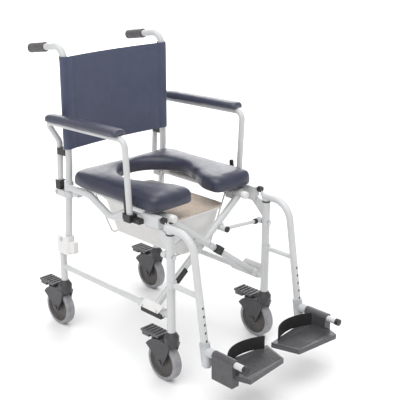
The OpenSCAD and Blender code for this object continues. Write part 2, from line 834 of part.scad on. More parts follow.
// Black fittings that hold the rear armrest tubes: hinge housings and stop clips, open to the rear
housing_height = 30;
housing_wall = 1.6;
housing_front = 14.3;
clip_low_z = 616;
clip_high_z = 637;
clip_front = 4;
arm_knee_z = 655;
arm_knee_lean = 10;
arm_knee_depth = arm_hinge_depth - arm_knee_lean;

function arm_lean_depth(z) =
    arm_hinge_depth + (arm_knee_depth - arm_hinge_depth) * (z - arm_hinge_z) / (arm_knee_z - arm_hinge_z);

module arm_slot(z_low, z_high) {
    inner = arm_r + arm_gap;
    front = arm_lean_depth((z_low + z_high) / 2) - arm_r - 2 * arm_gap;
    box(at(arm_rear_x - inner, front, z_low - cut_over),
        at(arm_rear_x + inner, front + 3 * arm_d, z_high + cut_over));
}

module armrest_rear_fittings() {
    outer = arm_r + arm_gap + housing_wall;
    housing_low_z = arm_hinge_z + ear_half_height;
    housing_high_z = housing_low_z + housing_height;
    clip_depth = arm_lean_depth((clip_low_z + clip_high_z) / 2);
    color(black) for (side = SIDES) on_side(side) {
        difference() {
            box(at(arm_rear_x - outer, arm_hinge_depth - housing_front, housing_low_z),
                at(arm_rear_x + outer, arm_hinge_depth + arm_r, housing_high_z));
            arm_slot(housing_low_z, housing_high_z);
        }
        difference() {
            box(at(arm_rear_x - outer, back_depth + clip_front, clip_low_z),
                at(arm_rear_x + outer, clip_depth, clip_high_z));
            rod(at(back_x, back_depth, clip_low_z - cut_over), at(back_x, back_depth, clip_high_z + cut_over),
                tube_d + 2 * seat_gap);
            arm_slot(clip_low_z, clip_high_z);
        }
    }
}

// Front sockets of the armrests, on the outer sides of the upper side rails
socket_clear = 1.8;
socket_wall = 3;
socket_low_z = 490;
socket_high_z = 513;
socket_floor = 5;
socket_foot_length = 44;
socket_foot_high_z = 505;
socket_bore_d = arm_d + 2 * socket_clear;
socket_rear = arm_front_depth + socket_bore_d / 2 + socket_wall;
arm_foot_z = 498;
latch_x = 229;
latch_z = 500;
latch_thick = 7;
latch_side_gap = 0.4;
latch_boss_d = 12;
latch_pin_d = 5;
latch_wall = 4.5;
latch_depth = socket_rear + latch_boss_d / 2 + 2 * latch_side_gap;
latch_yoke_rear = latch_depth + latch_boss_d / 2 + latch_wall;
latch_yoke_high_z = 509;

// Where the leaning front stretch of an armrest tube stands at a height
function arm_front_x(z) =
    arm_socket_x + (arm_pad_x - arm_socket_x) * (z - arm_foot_z) / (arm_front_z - arm_foot_z);
function arm_front_point(z) = at(arm_front_x(z), arm_front_depth, z);

module armrest_sockets() {
    inner_x = post_x + tube_r + loose_fit;
    yoke_half = latch_thick / 2 + latch_side_gap + latch_wall;
    color(black) for (side = SIDES) on_side(side) difference() {
        union() {
            box(at(inner_x, 2 * arm_front_depth - socket_rear, socket_low_z),
                at(arm_socket_x + socket_bore_d / 2 + socket_wall, socket_rear, socket_high_z));
            box(at(inner_x, arm_front_depth - socket_foot_length, socket_low_z),
                at(arm_socket_x + socket_wall, arm_front_depth, socket_foot_high_z));
            box(at(latch_x - yoke_half, socket_rear - weld_over, socket_low_z),
                at(latch_x + yoke_half, latch_yoke_rear, latch_yoke_high_z));
        }
        rod(arm_front_point(socket_low_z + socket_floor), arm_front_point(socket_high_z + cut_over),
            socket_bore_d);
        box(at(latch_x - latch_thick / 2 - latch_side_gap, latch_depth - latch_boss_d / 2 - latch_side_gap,
                latch_z - latch_boss_d / 2 - latch_side_gap),
            at(latch_x + latch_thick / 2 + latch_side_gap, latch_yoke_rear + cut_over,
                latch_yoke_high_z + cut_over));
        bar_x(at(latch_x, latch_depth, latch_z), 2 * yoke_half + 2 * cut_over, latch_pin_d + 2 * run_fit);
    }
}

// Latch levers of the armrests
latch_top_z = 572;
latch_lean = 7;
latch_top_depth = latch_depth + latch_lean;
latch_top_d = 13;

module armrest_latch(side) {
    yoke_half = latch_thick / 2 + latch_side_gap + latch_wall;
    on_side(side) {
        bar_x(at(latch_x, latch_depth, latch_z), latch_thick, latch_boss_d);
        bar_x(at(latch_x, latch_depth, latch_z), 2 * yoke_half, latch_pin_d);
        bar_x(at(latch_x, latch_top_depth, latch_top_z), latch_thick, latch_top_d);
        side_plate(latch_x, latch_thick, [
            [latch_depth - latch_boss_d / 2, latch_z],
            [latch_depth + latch_boss_d / 2, latch_z],
            [latch_top_depth + latch_top_d / 2, latch_top_z],
            [latch_top_depth - latch_top_d / 2, latch_top_z]]);
    }
}

module right_armrest_latch() {
    color(black) armrest_latch(RIGHT);
}

module left_armrest_latch() {
    color(black) armrest_latch(LEFT);
}

// Armrest tubes, each one tube bent four times
arm_end_drop = 11;
arm_corner_lean = 5;
arm_rear_corner_depth = arm_hinge_depth - arm_corner_lean;
arm_bend_r = 26;
arm_knee_r = 40;

module armrest_tube(side) {
    hinge_end = at(arm_rear_x, arm_lean_depth(arm_hinge_z - arm_end_drop), arm_hinge_z - arm_end_drop);
    knee = at(arm_rear_x, arm_knee_depth, arm_knee_z);
    rear_corner = at(arm_pad_x, arm_rear_corner_depth, arm_rear_z);
    front_corner = at(arm_pad_x, arm_front_depth, arm_front_z);
    socket_end = arm_front_point(arm_foot_z);
    path = [hinge_end, knee, rear_corner, front_corner, socket_end];
    radii = [0, arm_knee_r, arm_bend_r, arm_bend_r, 0];
    on_side(side) difference() {
        bent_rod(path, radii, arm_d);
        bent_rod(drawn_out(path, cut_over, cut_over), radii, arm_d - 2 * tube_wall);
        bar_x(at(arm_rear_x, arm_hinge_depth, arm_hinge_z), 2 * arm_d, arm_pin_d + 2 * run_fit);
    }
}

module right_armrest_tube() {
    color(white) armrest_tube(RIGHT);
}

module left_armrest_tube() {
    color(white) armrest_tube(LEFT);
}

// Armrest pads: crowned on top, with rounded ends and a groove underneath for the tube
pad_end_r = 12;
pad_edge = 1.5;
pad_end_shares = [0, 0.08, 0.3, 0.65, 1];
pad_side_shares = [0.22, 0.55, 0.8, 0.95];
pad_draw_shares = [0, 0, 0.14, 0.45];
pad_seat = 4;
pad_groove_gap = 0.4;
pad_groove_half = arm_r + pad_groove_gap;
pad_groove_z = pad_groove_half - pad_seat;
pad_mid_depth = (arm_front_depth + arm_rear_corner_depth) / 2;
pad_length = arm_rear_corner_depth - arm_front_depth - 2 * pad_end_gap;

function pad_ring(s) =
    let (draw = end_inset(min(s, pad_length - s), pad_end_r),
        half = pad_width / 2 - draw,
        top = pad_thick - draw * pad_thick / pad_width)
    concat(
        [[-half + pad_edge, s, 0], [half - pad_edge, s, 0]],
        [for (i = [0 : len(pad_side_shares) - 1])
            [half * (1 - pad_draw_shares[i]), s, top * pad_side_shares[i]]],
        [[0, s, top]],
        [for (i = [len(pad_side_shares) - 1 : -1 : 0])
            [-half * (1 - pad_draw_shares[i]), s, top * pad_side_shares[i]]]);

module armrest_pad(side) {
    run = arm_rear_corner_depth - arm_front_depth;
    slope = atan((arm_front_z - arm_rear_z) / run);
    mid_z = (arm_front_z + arm_rear_z) / 2;
    front = [for (share = pad_end_shares) share * pad_end_r];
    stations = concat(front, [for (i = [len(front) - 1 : -1 : 0]) pad_length - front[i]]);
    on_side(side)
        translate(at(arm_pad_x, pad_mid_depth, mid_z))
            rotate([-slope, 0, 0])
                translate([0, -pad_length / 2, pad_seat])
                    difference() {
                        loft([for (s = reversed(stations)) pad_ring(s)]);
                        box([-pad_groove_half, -cut_over, -cut_over],
                            [pad_groove_half, pad_length + cut_over, pad_groove_z]);
                    }
}

module right_armrest_pad() {
    color(navy) armrest_pad(RIGHT);
}

module left_armrest_pad() {
    color(navy) armrest_pad(LEFT);
}

// Seat cushion: a band round a keyhole opening, crowned on top, drawn in at its lower edge
seat_rear_band = 54;
opening_depth = seat_rear_depth - opening_r - seat_rear_band;
seat_corner_power = 12;
seat_front_outer_r = 30;
seat_front_inner_r = 24;
seat_front_edge_r = 14;
seat_front_share = 0.6;
seat_arc_front = -36;
seat_arc_steps = 21;
seat_lobe_shares = [0.18, 0.36, 0.54, 0.7, 0.82, 0.91, 0.97, 1];
seat_edge = 18;
seat_edge_share = 0.4;
seat_throat_share = 1.5;
seat_under_edge = 5;
seat_side_shares = [0.2, 0.62, 0.84, 0.96, 1];
seat_draw_shares = [0, 0, 0.16, 0.5, 1];
seat_crown_share = 1.05;

// Outer edge of the seat in a direction from the middle of the opening
function seat_outline_r(a) =
    let (side = abs(cos(a)) / seat_half_w, rear = max(0, sin(a)) / (seat_rear_depth - opening_depth))
    1 / pow(pow(side, seat_corner_power) + pow(rear, seat_corner_power), 1 / seat_corner_power);
function seat_arc_pair(a) = [
    [opening_r * cos(a), opening_depth + opening_r * sin(a)],
    [seat_outline_r(a) * cos(a), opening_depth + seat_outline_r(a) * sin(a)]];
function ease(t) = t * t * (3 - 2 * t);
function seat_lobe_pair(t) =
    let (start = seat_arc_pair(seat_arc_front),
        inner_y = start[0].y + (seat_front_depth - start[0].y) * t,
        outer_y = start[1].y + (seat_front_depth - start[1].y) * t,
        inner_x = start[0].x + (throat_half_w - start[0].x) * ease(min(1, t * seat_throat_share)))
    [[inner_x + end_inset(inner_y - seat_front_depth, seat_front_inner_r), inner_y],
        [seat_half_w - end_inset(outer_y - seat_front_depth, seat_front_outer_r), outer_y]];
seat_left_pairs = concat(
    [for (i = [0 : seat_arc_steps]) seat_arc_pair(90 + (seat_arc_front - 90) * i / seat_arc_steps)],
    [for (t = seat_lobe_shares) seat_lobe_pair(t)]);
seat_pairs = concat(
    [for (i = [len(seat_left_pairs) - 1 : -1 : 1]) [for (p = seat_left_pairs[i]) [-p.x, p.y]]],
    seat_left_pairs);

function seat_ring(pair) =
    let (inner = pair[0],
        outer = pair[1],
        width = norm(outer - inner),
        along = (outer - inner) / width,
        edge = min(seat_edge, width * seat_edge_share),
        front_s = max(0, min(inner.y, outer.y) - seat_front_depth),
        drop_share = end_inset(front_s, seat_front_edge_r) / seat_front_edge_r,
        top = seat_thick * (1 - (1 - seat_front_share) * drop_share),
        spot = function(s, z) let (p = inner + along * s) at(p.x, p.y, seat_bottom_z + z))
    concat(
        [spot(seat_under_edge, 0), spot(width - seat_under_edge, 0)],
        [for (i = [0 : len(seat_side_shares) - 1])
            spot(width - edge * seat_draw_shares[i], top * seat_side_shares[i] / seat_crown_share)],
        [spot(width / 2, top)],
        [for (i = [len(seat_side_shares) - 1 : -1 : 0])
            spot(edge * seat_draw_shares[i], top * seat_side_shares[i] / seat_crown_share)]);

module seat_cushion() {
    color(navy) loft([for (pair = seat_pairs) seat_ring(pair)]);
}

// Clips under the seat that sit over the seat rails
clip_wall = 3.5;
clip_length = 28;
clip_front_depth = 134;
clip_inset = 82;
clip_depths = [clip_front_depth, rail_rear_depth - clip_inset];

module seat_clips() {
    half = tube_r + clip_wall;
    color(white) for (side = SIDES) on_side(side) for (d = clip_depths) difference() {
        box(at(rail_x - half, d, rail_z), at(rail_x + half, d + clip_length, seat_bottom_z));
        bar_y(at(rail_x, d + clip_length / 2, rail_z), clip_length + 2 * cut_over, tube_d + 2 * seat_gap);
    }
}

// Commode pan: tapered tub with a rim
pan_wall = 3.5;
pan_corner_r = 28;
pan_corner_steps = 5;
pan_rim = 6;
pan_rim_thick = 6;
pan_base_half_w = 70;
pan_base_draw = 12;

// Rounded ring about the middle of the pan
function pan_ring(half_w, half_l, r, z) = [for (p = rounded_outline(half_w, half_l, r, pan_corner_steps))
    at(p.x, (pan_front_depth + pan_rear_depth) / 2 + p.y, z)];

module commode_pan() {
    bottom_z = wire_z + wire_d / 2 + seat_gap;
    half_l = (pan_rear_depth - pan_front_depth) / 2;
    top_w = pan_half_w - pan_rim;
    top_l = half_l - pan_rim;
    base_l = top_l - pan_base_draw;
    inner_r = pan_corner_r - pan_wall;
    color(white) loft([
        pan_ring(pan_base_half_w - pan_wall, base_l - pan_wall, inner_r, bottom_z),
        pan_ring(pan_base_half_w, base_l, pan_corner_r, bottom_z + pan_wall),
        pan_ring(top_w, top_l, pan_corner_r, pan_top_z - pan_rim_thick),
        pan_ring(pan_half_w, half_l, pan_corner_r, pan_top_z - pan_rim_thick),
        pan_ring(pan_half_w, half_l, pan_corner_r, pan_top_z),
        pan_ring(top_w - pan_wall, top_l - pan_wall, inner_r, pan_top_z),
        pan_ring(pan_base_half_w - pan_wall, base_l - pan_wall, inner_r, bottom_z + 2 * pan_wall)]);
}

// Lid that lies on the pan, with a lip inside the rim
lid_thick = 5;
lid_lip = 4;
lid_side_gap = 2;

module pan_lid() {
    half_l = (pan_rear_depth - pan_front_depth) / 2;
    lip_w = pan_half_w - pan_rim - pan_wall - lid_side_gap;
    lip_l = half_l - pan_rim - pan_wall - lid_side_gap;
    inner_r = pan_corner_r - pan_wall;
    low_z = pan_top_z + seat_gap;
    color(tan_colour) loft([
        pan_ring(lip_w - lid_lip, lip_l - lid_lip, inner_r, low_z - lid_lip),
        pan_ring(lip_w, lip_l, inner_r, low_z),
        pan_ring(pan_half_w, half_l, pan_corner_r, low_z),
        pan_ring(pan_half_w, half_l, pan_corner_r, low_z + lid_thick)]);
}

// Legrest hangers: bent tube with height holes, pivot spigot, strut and release lever ears
hanger_dir = [0, -sin(hanger_slope), -cos(hanger_slope)];
hanger_rear = 12;
hanger_corner = at(post_x, -hanger_reach, hanger_z);
hanger_end = hanger_corner + hanger_dir * (hanger_z - hanger_end_z) / cos(hanger_slope);
hanger_path = [at(post_x, hanger_rear, hanger_z), hanger_corner, hanger_end];
hanger_radii = [0, hanger_bend_r, 0];
hole_d = 8;
hole_first_z = 192;
strut_z = 324;
strut_d = 16;
hook_wall = 4;
hook_clear = 0.5;
hook_height = 22;
hook_mouth = 4.2;
collar_d = 24;
lever_depth = 17;
lever_z = 503;
lever_ear_front = 4;
lever_thick = 6;
lever_side_gap = 0.3;
lever_ear = 3;
lever_boss_d = 8;
lever_pin_d = 4;

function hanger_point(z) = hanger_corner + hanger_dir * (hanger_z - z) / cos(hanger_slope);

module legrest_hanger(side) {
    ear_half = lever_thick / 2 + lever_side_gap + lever_ear;
    over = [0, 0, cut_over];
    on_side(side) difference() {
        union() {
            bent_rod(hanger_path, hanger_radii, tube_d);
            rod(at(post_x, 0, post_top_z - bushing_depth), at(post_x, 0, hanger_z), spigot_d);
            rod(at(post_x, 0, post_top_z + bushing_flange_h + seat_gap), at(post_x, 0, hanger_z), collar_d);
            rod(at(post_x, -post_r - hook_wall, strut_z), hanger_point(strut_z), strut_d);
            difference() {
                rod(at(post_x, 0, strut_z - hook_height / 2), at(post_x, 0, strut_z + hook_height / 2),
                    post_d + 2 * hook_clear + 2 * hook_wall);
                box(at(post_x - post_d, -hook_mouth, strut_z - hook_height),
                    at(post_x + post_d, post_d, strut_z + hook_height));
            }
            for (s = SIDES)
                translate([s * (ear_half - lever_ear / 2), 0, 0]) {
                    box(at(post_x - lever_ear / 2, lever_ear_front, hanger_z),
                        at(post_x + lever_ear / 2, lever_depth + lever_boss_d / 2, lever_z));
                    bar_x(at(post_x, lever_depth, lever_z), lever_ear, lever_boss_d);
                }
        }
        bent_rod(drawn_out([at(post_x, -collar_d, hanger_z), hanger_corner, hanger_end], 0, cut_over),
            hanger_radii, tube_d - 2 * tube_wall);
        rod(at(post_x, 0, strut_z - hook_height / 2) - over, at(post_x, 0, strut_z + hook_height / 2) + over,
            post_d + 2 * hook_clear);
        for (i = [0 : hole_count - 1])
            translate(hanger_point(hole_first_z) - hanger_dir * i * hole_pitch)
                rotate([90 - hanger_slope, 0, 0])
                    cylinder(h = 2 * tube_d, d = hole_d, center = true);
        bar_x(at(post_x, lever_depth, lever_z), 4 * ear_half, lever_pin_d + 2 * run_fit);
    }
}

module right_legrest_hanger() {
    color(white) legrest_hanger(RIGHT);
}

module left_legrest_hanger() {
    color(white) legrest_hanger(LEFT);
}

// Release levers with a round knob that faces forward
knob_depth = 27;
knob_z = 516;
knob_d = 20;
knob_length = 12;

module release_lever(side) {
    ear_half = lever_thick / 2 + lever_side_gap + lever_ear;
    on_side(side) {
        bar_x(at(post_x, lever_depth, lever_z), lever_thick, lever_boss_d);
        bar_x(at(post_x, lever_depth, lever_z), 2 * ear_half, lever_pin_d);
        rod(at(post_x, lever_depth, lever_z), at(post_x, knob_depth, knob_z), lever_thick - weld_over);
        bar_y(at(post_x, knob_depth, knob_z), knob_length, knob_d);
    }
}

module right_release_lever() {
    color(black) release_lever(RIGHT);
}

module left_release_lever() {
    color(black) release_lever(LEFT);
}

// Sliding clamps that carry the footplate tubes
clamp_d = 31;
clamp_boss_d = 27;
clamp_boss_front = 181;
pivot_tube_d = 19;
pivot_tube_rear = 157;
pivot_tube_front = 296;
pivot_cap_d = 21;
pivot_cap_length = 12;

module footrest_clamp(side) {
    boss_depth = -hanger_point(foot_pivot_z).y + post_y;
    on_side(side) difference() {
        union() {
            rod(hanger_point(clamp_bottom_z), hanger_point(clamp_top_z), clamp_d);
            rod(at(post_x, -boss_depth, foot_pivot_z), at(post_x, -clamp_boss_front, foot_pivot_z),
                clamp_boss_d);
        }
        rod(hanger_point(clamp_bottom_z - clamp_d), hanger_point(clamp_top_z + clamp_d),
            tube_d + 2 * run_fit);
        rod(at(post_x, -pivot_tube_rear, foot_pivot_z),
            at(post_x, -clamp_boss_front - cut_over, foot_pivot_z), pivot_tube_d + 2 * loose_fit);
    }
}

module right_footrest_clamp() {
    color(light_grey) footrest_clamp(RIGHT);
}

module left_footrest_clamp() {
    color(light_grey) footrest_clamp(LEFT);
}

module pivot_tube(side) {
    rear = at(post_x, -pivot_tube_rear, foot_pivot_z);
    front = at(post_x, -pivot_tube_front, foot_pivot_z);
    over = [0, cut_over, 0];
    on_side(side) difference() {
        rod(rear, front, pivot_tube_d);
        rod(rear + over, front - over, pivot_tube_d - 2 * tube_wall);
    }
}

module right_pivot_tube() {
    color(white) pivot_tube(RIGHT);
}

module left_pivot_tube() {
    color(white) pivot_tube(LEFT);
}

module pivot_cap(side) {
    on_side(side)
        rod(at(post_x, -pivot_tube_front, foot_pivot_z),
            at(post_x, -pivot_tube_front - pivot_cap_length, foot_pivot_z), pivot_cap_d);
}

module right_pivot_cap() {
    color(black) pivot_cap(RIGHT);
}

module left_pivot_cap() {
    color(black) pivot_cap(LEFT);
}

// Footplates that flip up about the pivot tubes
foot_sleeve_start = 183;
foot_sleeve_end = 264;
foot_sleeve_wall = 5;
foot_skirt_half = 14;
foot_skirt_low_z = 92;
foot_inner_front_x = 36;
foot_inner_front = 294;
foot_inner_rear = 206;

module footplate(side) {
    sleeve_d = pivot_tube_d + 2 * foot_sleeve_wall;
    on_side(side) difference() {
        union() {
            rod(at(post_x, -foot_sleeve_start, foot_pivot_z), at(post_x, -foot_sleeve_end, foot_pivot_z),
                sleeve_d);
            box(at(post_x - foot_skirt_half, -foot_sleeve_end, foot_skirt_low_z),
                at(post_x + foot_skirt_half, -foot_sleeve_start, foot_pivot_z));
            translate([0, post_y, foot_top_z - foot_thick])
                linear_extrude(height = foot_thick)
                    polygon([[post_x, -foot_sleeve_start], [foot_gap, -foot_inner_rear],
                        [foot_inner_front_x, -foot_inner_front], [post_x - foot_skirt_half, -front_reach],
                        [post_x, -foot_sleeve_end]]);
        }
        rod(at(post_x, -foot_sleeve_start + cut_over, foot_pivot_z),
            at(post_x, -foot_sleeve_end - cut_over, foot_pivot_z), pivot_tube_d + 2 * run_fit);
    }
}

module right_footplate() {
    color(dark_grey) footplate(RIGHT);
}

module left_footplate() {
    color(dark_grey) footplate(LEFT);
}

// Heel straps that stand on the footplates and bulge to the rear
strap_height = 42;
strap_thick = 3;
strap_outer_x = 190;
strap_inner_x = 30;
strap_end = 214;
strap_bulge = 26;

module heel_strap(side) {
    half = (strap_outer_x - strap_inner_x) / 2;
    radius = (half * half + strap_bulge * strap_bulge) / (2 * strap_bulge);
    on_side(side)
        translate(at((strap_outer_x + strap_inner_x) / 2, -strap_end + strap_bulge - radius, foot_top_z))
            difference() {
                cylinder(h = strap_height, r = radius);
                translate([0, 0, -cut_over])
                    cylinder(h = strap_height + 2 * cut_over, r = radius - strap_thick);
                translate([-2 * radius, -3 * radius - strap_bulge, -cut_over])
                    cube([4 * radius, 4 * radius, strap_height + 2 * cut_over]);
            }
}

module right_heel_strap() {
    color(black) heel_strap(RIGHT);
}

module left_heel_strap() {
    color(black) heel_strap(LEFT);
}

// Casters, drawn with the swivel axis on Z and the wheel behind it
wheel_r = wheel_d / 2;
tyre_depth = 12;
tyre_edge_r = 6;
axle_d = 10;
axle_head_d = 16;
axle_head_h = 3;
hub_side_gap = 0.5;
fork_inner = 17;
fork_leg = 6;
hood_inner_gap = 5;
hood_thick = 8;
hood_front = 125;
hood_rear = 35;
dome_d = 46;
dome_neck_d = 28;
dome_low_z = 126;
dome_shoulder_z = 154;
stem_length = 34;
axle_boss_d = 30;
pedal_half_w = 24;
pedal_front = 36;
pedal_thick = 7;
pedal_body_front = 80;
pedal_body_depth = 12;
pedal_hinge = [66, 136];
pedal_hinge_d = 10;
pedal_lug_inner = 12;
pedal_lug_thick = 6;
pedal_pin_d = 5;
pedal_rise = 6;
pedal_rib = 3;
pedal_rib_places = [48, 62, 76, 90, 104];

module at_caster(side, rear) {
    translate([side * post_x, rear ? leg_y : post_y, 0]) children();
}

module caster_fork(side, rear) {
    stem_d = (rear ? tube_d : post_d) - 2 * tube_wall - 2 * run_fit;
    half = fork_inner + fork_leg;
    axle = [0, trail, wheel_r];
    hood_r = wheel_r + hood_inner_gap + hood_thick;
    at_caster(side, rear) {
        difference() {
            union() {
                rod([0, 0, dome_low_z], [0, 0, leg_bottom_z + stem_length], stem_d);
                rotate_extrude()
                    polygon([[0, dome_low_z], [dome_d / 2, dome_low_z], [dome_d / 2, dome_shoulder_z],
                        [dome_neck_d / 2, leg_bottom_z - seat_gap], [0, leg_bottom_z - seat_gap]]);
                translate(axle)
                    rotate([0, 90, 0])
                        intersection() {
                            cylinder(h = 2 * half, r = hood_r, center = true);
                            rotate([0, 0, 90])
                                translate([0, 0, -half])
                                    linear_extrude(height = 2 * half)
                                        polygon([[0, 0],
                                            [2 * hood_r * cos(hood_rear), 2 * hood_r * sin(hood_rear)],
                                            [0, 3 * hood_r],
                                            [2 * hood_r * cos(hood_front), 2 * hood_r * sin(hood_front)]]);
                        }
                for (s = SIDES) translate([s * (fork_inner + fork_leg / 2), 0, 0]) {
                    bar_x(axle, fork_leg, axle_boss_d);
                    translate([-fork_leg / 2, 0, 0])
                        rotate([90, 0, 90])
                            linear_extrude(height = fork_leg)
                                polygon([[-dome_neck_d / 2, dome_low_z + fork_leg],
                                    [0, wheel_r + axle_boss_d], [trail - axle_boss_d / 2, wheel_r],
                                    [trail + axle_boss_d / 2, wheel_r],
                                    [2 * trail, wheel_r + 2 * axle_boss_d]]);
                }
                for (s = SIDES)
                    translate([s * (pedal_lug_inner + pedal_lug_thick / 2), 0, 0]) {
                        bar_x([0, pedal_hinge.x, pedal_hinge.y], pedal_lug_thick, pedal_hinge_d);
                        box([-pedal_lug_thick / 2, pedal_hinge.x - pedal_hinge_d / 2,
                                pedal_hinge.y - pedal_hinge_d],
                            [pedal_lug_thick / 2, pedal_hinge.x + pedal_hinge_d / 2, pedal_hinge.y]);
                    }
            }
            translate(axle)
                rotate([0, 90, 0])
                    cylinder(h = 2 * fork_inner, r = wheel_r + hood_inner_gap, center = true);
            bar_x(axle, 4 * half, axle_d + 2 * loose_fit);
            bar_x([0, pedal_hinge.x, pedal_hinge.y], 4 * half, pedal_pin_d + 2 * run_fit);
        }
        bar_x(axle, 2 * (half + axle_head_h), axle_d);
        for (s = SIDES)
            bar_x(axle + [s * (half + loose_fit + axle_head_h / 2), 0, 0], axle_head_h, axle_head_d);
    }
}

module caster_tyre(side, rear) {
    at_caster(side, rear)
        translate([0, trail, wheel_r])
            rotate([0, 90, 0])
                rotate_extrude()
                    difference() {
                        union() {
                            translate([wheel_r - tyre_depth, -tyre_w / 2])
                                square([tyre_depth - tyre_edge_r, tyre_w]);
                            translate([wheel_r - tyre_edge_r - weld_over, -tyre_w / 2 + tyre_edge_r])
                                square([tyre_edge_r + weld_over, tyre_w - 2 * tyre_edge_r]);
                            for (s = SIDES)
                                translate([wheel_r - tyre_edge_r, s * (tyre_w / 2 - tyre_edge_r)])
                                    circle(r = tyre_edge_r);
                        }
                        translate([wheel_r - 2 * tyre_depth, -tyre_w])
                            square([tyre_depth, 2 * tyre_w]);
                    }
}

module caster_hub(side, rear) {
    hub_r = wheel_r - tyre_depth - loose_fit;
    hub_half = fork_inner - hub_side_gap;
    rim_half = tyre_w / 2 - weld_over;
    at_caster(side, rear)
        translate([0, trail, wheel_r])
            rotate([0, 90, 0])
                rotate_extrude()
                    polygon([
                        [axle_d / 2 + run_fit, -hub_half], [axle_head_d / 2, -hub_half],
                        [axle_boss_d / 2, -rim_half + tyre_edge_r],
                        [hub_r - tyre_edge_r, -rim_half + tyre_edge_r],
                        [hub_r, -rim_half], [hub_r, rim_half],
                        [hub_r - tyre_edge_r, rim_half - tyre_edge_r],
                        [axle_boss_d / 2, rim_half - tyre_edge_r],
                        [axle_head_d / 2, hub_half], [axle_d / 2 + run_fit, hub_half]]);
}

module caster_pedal(side, rear) {
    boss_half = pedal_lug_inner - hub_side_gap;
    low_z = pedal_hinge.y + pedal_rise;
    at_caster(side, rear) {
        box([-pedal_half_w, pedal_front, low_z], [pedal_half_w, pedal_reach, low_z + pedal_thick]);
        box([-pedal_half_w + pedal_rib, pedal_body_front, low_z - pedal_body_depth],
            [pedal_half_w - pedal_rib, pedal_reach - pedal_rib, low_z + weld_over]);
        for (y = pedal_rib_places)
            box([-pedal_half_w + pedal_rib, y, low_z],
                [pedal_half_w - pedal_rib, y + pedal_rib, low_z + pedal_thick + pedal_rib]);
        bar_x([0, pedal_hinge.x, pedal_hinge.y], 2 * boss_half, pedal_hinge_d - weld_over);
        bar_x([0, pedal_hinge.x, pedal_hinge.y], 2 * (pedal_lug_inner + pedal_lug_thick), pedal_pin_d);
        box([-boss_half, pedal_hinge.x - pedal_pin_d / 2, pedal_hinge.y],
            [boss_half, pedal_hinge.x + pedal_pin_d / 2, low_z + weld_over]);
    }
}

module right_front_fork() {
    color(dark_grey) caster_fork(RIGHT, false);
}

module right_front_tyre() {
    color(light_grey) caster_tyre(RIGHT, false);
}

module right_front_hub() {
    color(dark_grey) caster_hub(RIGHT, false);
}

module right_front_pedal() {
    color(light_grey) caster_pedal(RIGHT, false);
}

module left_front_fork() {
    color(dark_grey) caster_fork(LEFT, false);
}

module left_front_tyre() {
    color(light_grey) caster_tyre(LEFT, false);
}

module left_front_hub() {
    color(dark_grey) caster_hub(LEFT, false);
}

module left_front_pedal() {
    color(light_grey) caster_pedal(LEFT, false);
}

module right_rear_fork() {
    color(dark_grey) caster_fork(RIGHT, true);
}

module right_rear_tyre() {
    color(light_grey) caster_tyre(RIGHT, true);
}

module right_rear_hub() {
    color(dark_grey) caster_hub(RIGHT, true);
}

module right_rear_pedal() {
    color(light_grey) caster_pedal(RIGHT, true);
}

module left_rear_fork() {
    color(dark_grey) caster_fork(LEFT, true);
}

module left_rear_tyre() {
    color(light_grey) caster_tyre(LEFT, true);
}

module left_rear_hub() {
    color(dark_grey) caster_hub(LEFT, true);
}

module left_rear_pedal() {
    color(light_grey) caster_pedal(LEFT, true);
}

right_side_frame();
left_side_frame();
right_back_tube();
left_back_tube();
right_push_grip();
left_push_grip();
rear_clamp_blocks();
post_bushings();
back_sling();
brace_right_foot();
brace_left_foot();
brace_pivot_bolt();
brace_links();
brace_buffers();
brace_foot_covers();
pan_hangers();
frame_bolts();
armrest_hinge_brackets();
armrest_rear_fittings();
armrest_sockets();
seat_cushion();
seat_clips();
commode_pan();
pan_lid();
right_armrest_tube();
right_armrest_pad();
right_armrest_latch();
left_armrest_tube();
left_armrest_pad();
left_armrest_latch();
right_legrest_hanger();
right_release_lever();
right_footrest_clamp();
right_pivot_tube();
right_pivot_cap();
right_footplate();
right_heel_strap();
left_legrest_hanger();
left_release_lever();
left_footrest_clamp();
left_pivot_tube();
left_pivot_cap();
left_footplate();
left_heel_strap();
right_front_fork();
right_front_tyre();
right_front_hub();
right_front_pedal();
left_front_fork();
left_front_tyre();
left_front_hub();
left_front_pedal();
right_rear_fork();
right_rear_tyre();
right_rear_hub();
right_rear_pedal();
left_rear_fork();
left_rear_tyre();
left_rear_hub();
left_rear_pedal();
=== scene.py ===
"""Dress the shower commode chair: finishes for its solids, soft goods, welds and fine fittings."""

import json
import logging
import math
from collections.abc import Callable, Iterator
from contextlib import contextmanager
from dataclasses import dataclass, field
from enum import Enum

import bpy
from mathutils import Matrix, Vector

